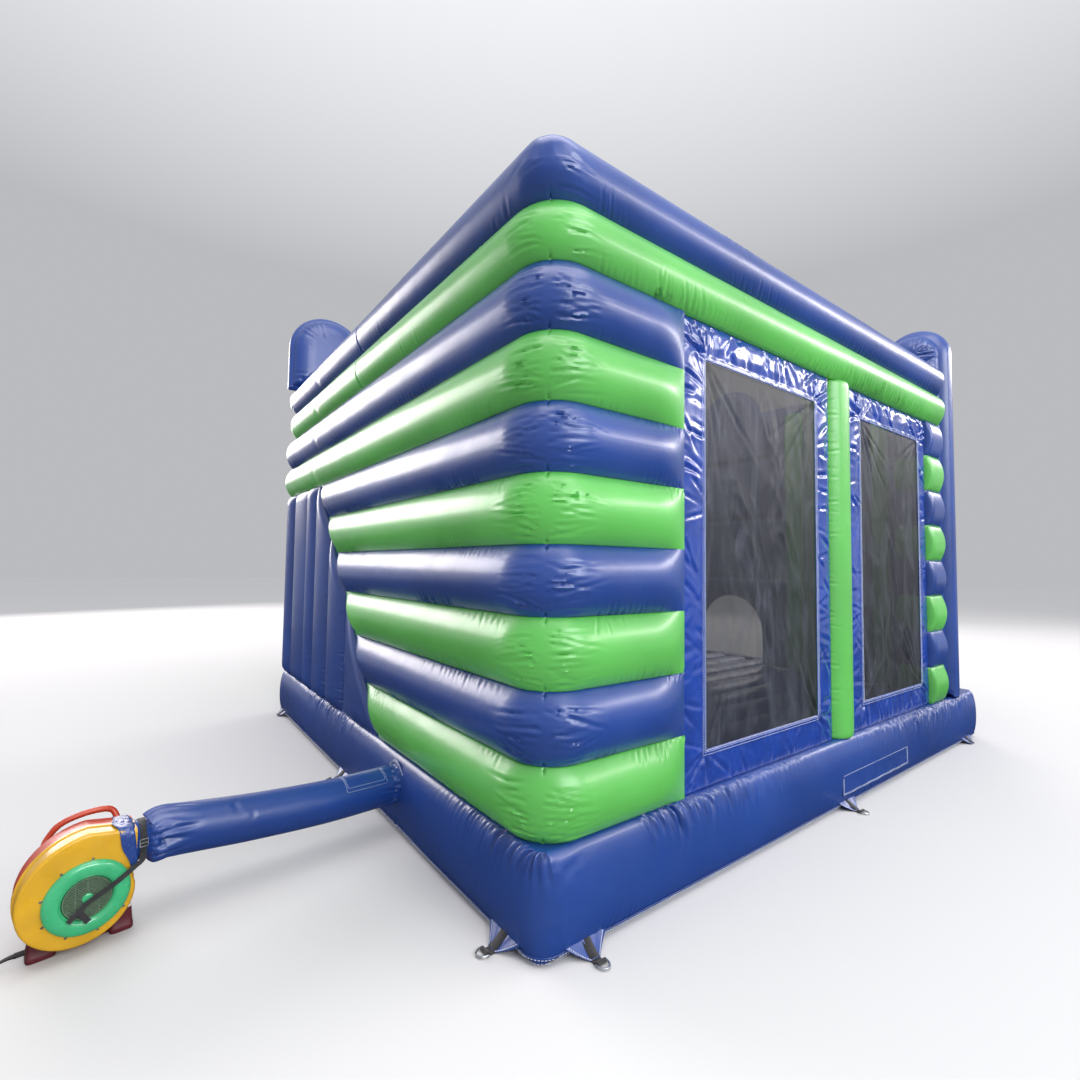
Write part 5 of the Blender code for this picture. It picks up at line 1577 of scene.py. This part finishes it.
def make_motor_side():
    """The ribbed motor cover with the switch's block, and the carry handle."""
    back = HOUSING_BACK
    skin = Skin()
    outer, inner = 0.092, 0.084
    bend = [(outer - 0.030 + 0.030 * sin(a), 0.100 + 0.035 * cos(a)) for a in np.linspace(0, pi / 2, 9)]
    profile = [(0.022, 0.130), (0.030, 0.135)] + bend + [(outer, h) for h in np.linspace(0.094, 0.012, 8)]
    profile += [(outer + 0.002, 0.010), (outer + 0.002, 0.0003), (inner, 0.0003), (inner, 0.095),
                (0.030, 0.125), (0.022, 0.126)]
    skin.grid(spun(profile, back, 144, flute=(0.014, 0.099, 0.0035, 30)), MAROON, closed=(True, True))
    block = np.array([(x, y, z) for x in (0.095, 0.135) for y in (-0.0145, 0.0145) for z in (0.085, 0.0962)])
    skin.block(from_blower(block), MAROON)
    skin.make("motor_shroud", HOUSE, "motor_cover", "maroon_plastic", sharp=35)

    run = [(back + 0.0003, 0.125, 0.140), (back + 0.018, 0.125, 0.150), (back + 0.030, 0.115, 0.180),
           (back + 0.030, 0.080, 0.225), (back + 0.030, 0.020, 0.246), (back + 0.030, -0.050, 0.250),
           (back + 0.030, -0.088, 0.238), (back + 0.018, -0.104, 0.210), (back + 0.0003, -0.105, 0.188)]
    line = smooth_line(run, 9)
    share = np.linspace(0, 1, len(line))
    grip = 0.0112 + 0.0012 * np.clip(np.minimum(share - 0.3, 0.75 - share) * 20, 0, 1)
    grip = grip - 0.0008 * (np.sin(share * 190) > 0.2) * (grip > 0.0122)
    skin = Skin()
    round_tube(skin, from_blower(line), grip, RED, 20)
    foot = ((0.0190, 0.0003), (0.0190, 0.004), (0.0165, 0.0065), (0.0115, 0.008))
    for end in (0, -1):
        knob(skin, foot, back, 1, *run[end][1:], 28, RED)
    skin.make("handle", HOUSE, "carry_handle", "red_plastic", sharp=45)


def soften_node(name, material, width):
    """A CAD part in its own finish, with its sharp edges broken."""
    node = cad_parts[name]
    for slot in node.material_slots:
        slot.material = material
    if width:
        bevel = node.modifiers.new("edges", "BEVEL")
        bevel.width = width
        bevel.segments = 3
        bevel.limit_method = "ANGLE"
        bevel.angle_limit = radians(35)
        bevel.harden_normals = False


def make_nozzle_side():
    """The outlet's spigot, the strap round the cuff with its buckle, and the strap's loose tail."""
    mouth = OUTLET_Y - 0.0003
    skin = Skin()
    r = NOZZLE_R
    profile = [(r - 0.006, 0.0), (r, 0.0), (r, 0.028), (r + 0.0008, 0.030), (r + 0.0008, 0.040),
               (r - 0.001, 0.045), (r - 0.005, 0.045), (r - 0.006, 0.040)]
    skin.grid(spun(profile, mouth, 80, axis="y"), YELLOW, closed=(True, True))
    skin.make("spigot", HOUSE, "outlet_nozzle", "yellow_plastic", sharp=40)
    skin = Skin()
    inner, outer = r + 0.0042, r + 0.0078
    ring = [(inner, 0.0125), (outer - 0.0006, 0.0125), (outer, 0.014), (outer, 0.034),
            (outer - 0.0006, 0.0355), (inner, 0.0355)]
    skin.grid(spun(ring, mouth, 96, axis="y"), WEB, closed=(True, True))
    angle = radians(172)
    base_y, r = mouth - 0.024, outer + 0.0012
    across, out = np.array([-sin(angle), 0, cos(angle)]), np.array([cos(angle), 0, sin(angle)])
    mid = np.array([DUCT_X, base_y, DUCT_Z]) + r * out
    for a0, a1, y0, y1 in ((-0.015, -0.0125, -0.015, 0.015), (0.0125, 0.015, -0.015, 0.015),
                           (-0.015, 0.015, -0.015, -0.0125), (-0.015, 0.015, 0.0125, 0.015),
                           (-0.0012, 0.0012, -0.015, 0.015)):
        corners = np.array([mid + across * a + np.array([0, y, 0]) + out * o
                            for a in (a0, a1) for y in (y0, y1) for o in (-0.001, 0.0025)])
        skin.block(from_blower(corners), STEEL)
    skin.make("cuff_band", HOUSE, "cuff_strap", "black_webbing", sharp=40)
    skin = Skin()
    x = COVER_FACE - 0.026
    facing = blower_way((-1, 0, 0))
    run = [(DUCT_X - 0.077, base_y, DUCT_Z - 0.030), (-0.106, base_y + 0.004, 0.080),
           (-0.117, -0.150, 0.070), (x, -0.118, 0.055), (x - 0.004, -0.085, 0.036), (x, -0.040, 0.010),
           (x + 0.004, -0.005, -0.010), (x + 0.002, 0.030, -0.038), (x - 0.002, 0.056, -0.062)]
    band(skin, from_blower(smooth_line(run, 10)), facing, 0.020, 0.0022, WEB)
    run = [(x + 0.001, 0.026, -0.034), (x - 0.003, 0.010, -0.058), (x - 0.002, -0.004, -0.082)]
    band(skin, from_blower(smooth_line(run, 8)), facing, 0.020, 0.0022, WEB)
    skin.make("strap_tail", HOUSE, slot="black_webbing", sharp=40)


def sleeve_rows(angle):
    """The tube's sleeve round the outlet, drawn in to the strap."""
    rows, power = [], 6.0
    for share in np.linspace(0, 1, 34):
        wide, low, high = 0.0915, 0.0795, 0.0945 - 0.012 * share
        box_r = (np.abs(np.cos(angle) / wide) ** power
                 + np.abs(np.sin(angle) / np.where(np.sin(angle) > 0, high, low)) ** power) ** (-1 / power)
        drawn = np.clip((share - 0.62) / 0.38, 0, 1)
        drawn = drawn * drawn * (3 - 2 * drawn)
        edge = -0.110 + 0.033 * np.sin(angle) + 0.003 * np.sin(5 * angle + 1)
        ripple = (np.sin(31 * angle + 4 * share) + 0.6 * np.sin(13 * angle - 7 * share)
                  + 0.7 * np.sin(7 * angle + 17 * share))
        lumps = 0.0022 * ripple * np.clip(1 - drawn, 0.25, 1) * min(1.0, 0.4 + share)
        r = box_r * (1 - drawn) + CUFF_R * drawn + np.abs(lumps) + (0.0012 if share < 0.04 else 0.0)
        rows.append(np.stack([DUCT_X - r * np.cos(angle), edge + (OUTLET_Y - 0.012 - edge) * share,
                              DUCT_Z + r * np.sin(angle)], 1))
    return from_blower(np.stack(rows, 0))


def make_air_tube():
    """The air tube: gathered over the outlet, full along its run, sewn on at the wall."""
    tube_r = 0.100
    root = np.array((-0.885, BACK + BASE_BULGE + 0.001, 0.270))
    strap = from_blower([(DUCT_X, OUTLET_Y - 0.0125, DUCT_Z)])[0]
    mouth = from_blower([(DUCT_X, OUTLET_Y - 0.046, DUCT_Z)])[0]
    way = blower_way((0, -1, 0))
    run = [strap, mouth, mouth + way * 0.035, mouth + way * 0.09,
           mouth * 0.65 + root * 0.35 - (0, 0, 0.010), mouth * 0.35 + root * 0.65 - (0, 0, 0.015),
           root + (0, 0.10, 0), root - (0, 0.004, 0)]
    line = smooth_line(run, 40)
    ways, travel, angle = rings(line, 96)
    total = travel[-1]
    grip = CUFF_R / tube_r
    narrow = np.interp(travel, [0, 0.024, 0.030, 0.040, 0.050, 0.065, 0.14, 0.30, total - 0.10,
                                total - 0.03, total],
                       [grip, grip, 0.80, 0.93, 1.00, 1.03, 1.04, 1.03, 1.02, 1.0, 0.985]) * tube_r
    at = travel[:, None]
    pleats = 0.0042 * np.cos(24 * angle + 1.2 * np.sin(3 * angle)) * np.exp(-np.abs(at - 0.042) / 0.022)
    pleats = pleats * np.clip((at - 0.022) / 0.010, 0.05, 1)
    creases = []
    for _ in range(80):
        creases.append(crease(RANDOM.uniform(0, 2 * pi) * tube_r, RANDOM.uniform(0.034, 0.060), pi / 2, 0.12,
                              (0.05, 0.20), 0.010, (0.003, 0.008)))
    for _ in range(80):
        creases.append(crease(RANDOM.uniform(0, 2 * pi) * tube_r, total - RANDOM.uniform(0.0, 0.03), -pi / 2,
                              0.2, (0.04, 0.16), 0.009, (0.003, 0.009)))
    for _ in range(12):
        creases.append(crease(RANDOM.uniform(0, 2 * pi) * tube_r, RANDOM.uniform(0.2, total - 0.1),
                              RANDOM.choice([0, pi]), 0.5, (0.03, 0.10), 0.014, (0.001, 0.0025)))
    wide = np.broadcast_to(angle * tube_r, (len(line), len(angle)))
    shift = folds(wide, np.broadcast_to(at, wide.shape), creases)
    seam = -0.003 * np.exp(-((angle - 5.2) / 0.05) ** 2)
    points = line[:, None] + ways * (narrow[:, None] + pleats + shift + seam)[..., None]
    skin = Skin()
    skin.tube(np.concatenate([sleeve_rows(angle), points[1:]], 0), BLUE, caps=False)
    skin.make("air_hose", HOUSE, "air_tube", "blue_vinyl", solid=0.0012)
    trim = Skin()
    for radius in (0.118, 0.124):
        turn = np.linspace(0, 2 * pi, 160)
        ring = np.stack([root[0] + radius * np.cos(turn), np.full(160, root[1] + 0.0022),
                         root[2] + radius * np.sin(turn)], 1)
        stitches(trim, ring[ring[:, 2] > 0], (0, 1, 0), length=0.007, gap=0.003)
    near, far = total - 0.34, total - 0.10
    for low, high, start, end in ((0.55, 0.55, near, far), (0.75, 0.75, near + 0.01, far - 0.01),
                                  (1.75, 1.75, near, far), (1.55, 1.55, near + 0.01, far - 0.01),
                                  (0.55, 1.75, near, near), (0.75, 1.55, near + 0.012, near + 0.012),
                                  (0.55, 1.75, far, far), (0.75, 1.55, far - 0.012, far - 0.012)):
        i = np.interp(np.linspace(start, end, 40), travel, np.arange(len(travel))).round().astype(int)
        j = (np.linspace(low, high, 40) / (2 * pi) * len(angle)).round().astype(int)
        out = ways[i, j]
        stitches(trim, points[i, j] + out * 0.0016, out, length=0.006, gap=0.0035, width=0.0016)
    turn = full_turn(120)
    flange = []
    for radius, off in ((0.097, 0.012), (0.101, 0.006), (0.110, 0.0022), (0.128, 0.0016), (0.130, -0.002)):
        ripple = 0.0015 * np.cos(17 * turn) * (radius < 0.12)
        flange.append(np.stack([root[0] + (radius + ripple) * np.cos(turn), np.full(120, root[1] + off),
                                root[2] + (radius + ripple) * np.sin(turn)], 1))
    trim.tube(np.stack(flange, 0), BLUE, caps=False)
    trim.make("air_hose_flange", HOUSE, slot="blue_vinyl")


# ---------------------------------------------------------------- power cord

CORD_D = 0.009
CORD_ROUTE = (
    (-1.0674, 4.0937, 0.0450), (-1.0710, 4.1150, 0.0440), (-1.0760, 4.1400, 0.0370),
    (-1.0810, 4.1620, 0.0220), (-1.0840, 4.1830, 0.0090), (-1.0830, 4.2080, 0.0053),
    (-1.0740, 4.2350, 0.0053), (-1.0600, 4.2620, 0.0053), (-1.0450, 4.2900, 0.0053),
    (-1.0345, 4.3200, 0.0053), (-1.0315, 4.3500, 0.0053),
)
COIL_AT = (-1.095, 4.350)
TURN_R = (0.0545, 0.0455)
LAYER_Z = (0.0050, 0.0140, 0.0230)
PLUG_LOW, PLUG_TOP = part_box("power_plug")
BOW_R, SWING_R = 0.0395, 0.060  # the bends of the last stretch, from the coil to the plug


def coil_line():
    """Six turns, out and in again on each layer, from beside the coil to its top."""
    line, steps = [], 36
    outer, inner = TURN_R
    low, mid, high = LAYER_Z
    last_r, last_z = outer + CORD_D, low
    for radius, height in ((outer, low), (inner, low), (inner, mid), (outer, mid), (outer, high),
                           (inner, high)):
        for step in range(steps):
            share = min(1.0, step / (steps * 0.18))
            ease = share * share * (3 - 2 * share)
            r, z = last_r + (radius - last_r) * ease, last_z + (height - last_z) * ease
            angle = 2 * pi * step / steps
            line.append((COIL_AT[0] + r * cos(angle), COIL_AT[1] + r * sin(angle), z))
        last_r, last_z = radius, height
    return line


def tail_line(start, end):
    """From the last turn out, round in a wide bow and back into the plug."""
    at, heading, path = np.array(start[:2], float), pi / 2, []
    lean = float(np.arccos(1 - (2 * BOW_R - (start[0] - end[0])) / (2 * SWING_R)))
    for radius, turn, steps in ((SWING_R, -lean, 8), (SWING_R, lean, 8), (BOW_R, pi, 26)):
        for _ in range(steps):
            step = turn / steps
            heading += step / 2
            at = at + np.array([cos(heading), sin(heading)]) * 2 * radius * sin(abs(step) / 2)
            heading += step / 2
            path.append(at)
    path += [path[-1] + (np.array(end[:2]) - path[-1]) * k / 6 for k in range(1, 7)]
    rise = np.linspace(0, 1, len(path))
    rise = rise * rise * (3 - 2 * rise)
    return [np.array([*point, start[2] + (end[2] - start[2]) * lift]) for point, lift in zip(path, rise)]


def make_cord():
    """The mains lead with its strain relief, its coil and the plug on its end."""
    plug_z = (PLUG_LOW[2] + PLUG_TOP[2]) / 2
    x, back = (PLUG_LOW[0] + PLUG_TOP[0]) / 2, PLUG_TOP[1]
    route = [np.array(p) for p in smooth_line(CORD_ROUTE, 4)[:-1]]
    line = route + [np.array(p) for p in coil_line()[1:]]
    line += tail_line(line[-1], (x, back + 0.0004, plug_z))
    line = np.array(line)
    data = bpy.data.curves.new("cord", "CURVE")
    data.dimensions = "3D"
    data.bevel_depth = CORD_D / 2
    data.bevel_resolution = 3
    data.use_fill_caps = True
    spline = data.splines.new("POLY")
    spline.points.add(len(line) - 1)
    for point, at in zip(spline.points, line):
        point.co = (*at, 1)
    data.materials.append(DARK)
    cord = bpy.data.objects.new("cord", data)
    bpy.context.scene.collection.objects.link(cord)
    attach(cord, HOUSE)
    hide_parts("power_cord", "power_cord_coil")

    skin = Skin()
    near = smooth_line(CORD_ROUTE, 12)[:22]
    share = np.linspace(0, 1, len(near))
    radius = 0.0082 - 0.0032 * share + 0.0007 * (np.sin(share * 2 * pi * 6) > 0)
    round_tube(skin, near, radius, DARK, 18)
    relief = skin.make("cord_relief", HOUSE, slot="dark_plastic", sharp=50)

    skin = Skin()
    half = [(h - l) / 2 for l, h in zip(PLUG_LOW, PLUG_TOP)]
    front = back - 0.052
    rows = []
    across, up = squared(full_turn(40), 0.45)
    for share, scale in ((0.0, 0.55), (0.04, 0.80), (0.10, 0.92), (0.3, 0.97), (0.36, 0.90), (0.42, 0.97),
                         (0.48, 0.90), (0.54, 0.97), (0.60, 0.90), (0.66, 0.96), (0.80, 1.0), (0.96, 1.0),
                         (1.0, 0.94)):
        rows.append(np.stack([x + half[0] * scale * across, np.full(40, back + (front - back) * share),
                              plug_z + half[2] * scale * up], 1))
    skin.tube(np.stack(rows, 0), DARK)
    turn = full_turn(20)
    for pin_x in (x - 0.0095, x + 0.0095):
        rows = [np.stack([pin_x + r * np.cos(turn), np.full(20, y), plug_z + r * np.sin(turn)], 1)
                for r, y in ((0.0024, front + 0.002), (0.0024, front - 0.0180), (0.0018, front - 0.0190))]
        skin.tube(np.stack(rows, 0), STEEL)
    plug = skin.make("plug", HOUSE, "power_plug", "dark_plastic", sharp=45)


for make in (make_camera, make_cord, make_stage, make_back_wall, make_ring, make_corner_panel, make_column,
             make_slide_wall, make_mattress, make_tower_panel):
    make()
make_window("rear", 21)
make_window("front", 34)
for make in (make_post, make_facade, make_green_trim, make_tower, make_flap, make_anchors, make_housing,
             make_stand, make_motor_side, make_nozzle_side, make_air_tube):
    make()
for number in (1, 2, 3, 4):
    soften_node(f"anchor_strap_{number}", WEB, 0.0)
    soften_node(f"anchor_ring_{number}", STEEL, 0.0)
for part, material, width in (("impeller", ALLOY, 0.0006), ("motor", ALLOY, 0.003),
                              ("cord_gland", DARK, 0.0015), ("power_switch", RED, 0.0012),
                              ("zip_slider", STEEL, 0.002)):
    soften_node(part, material, width)
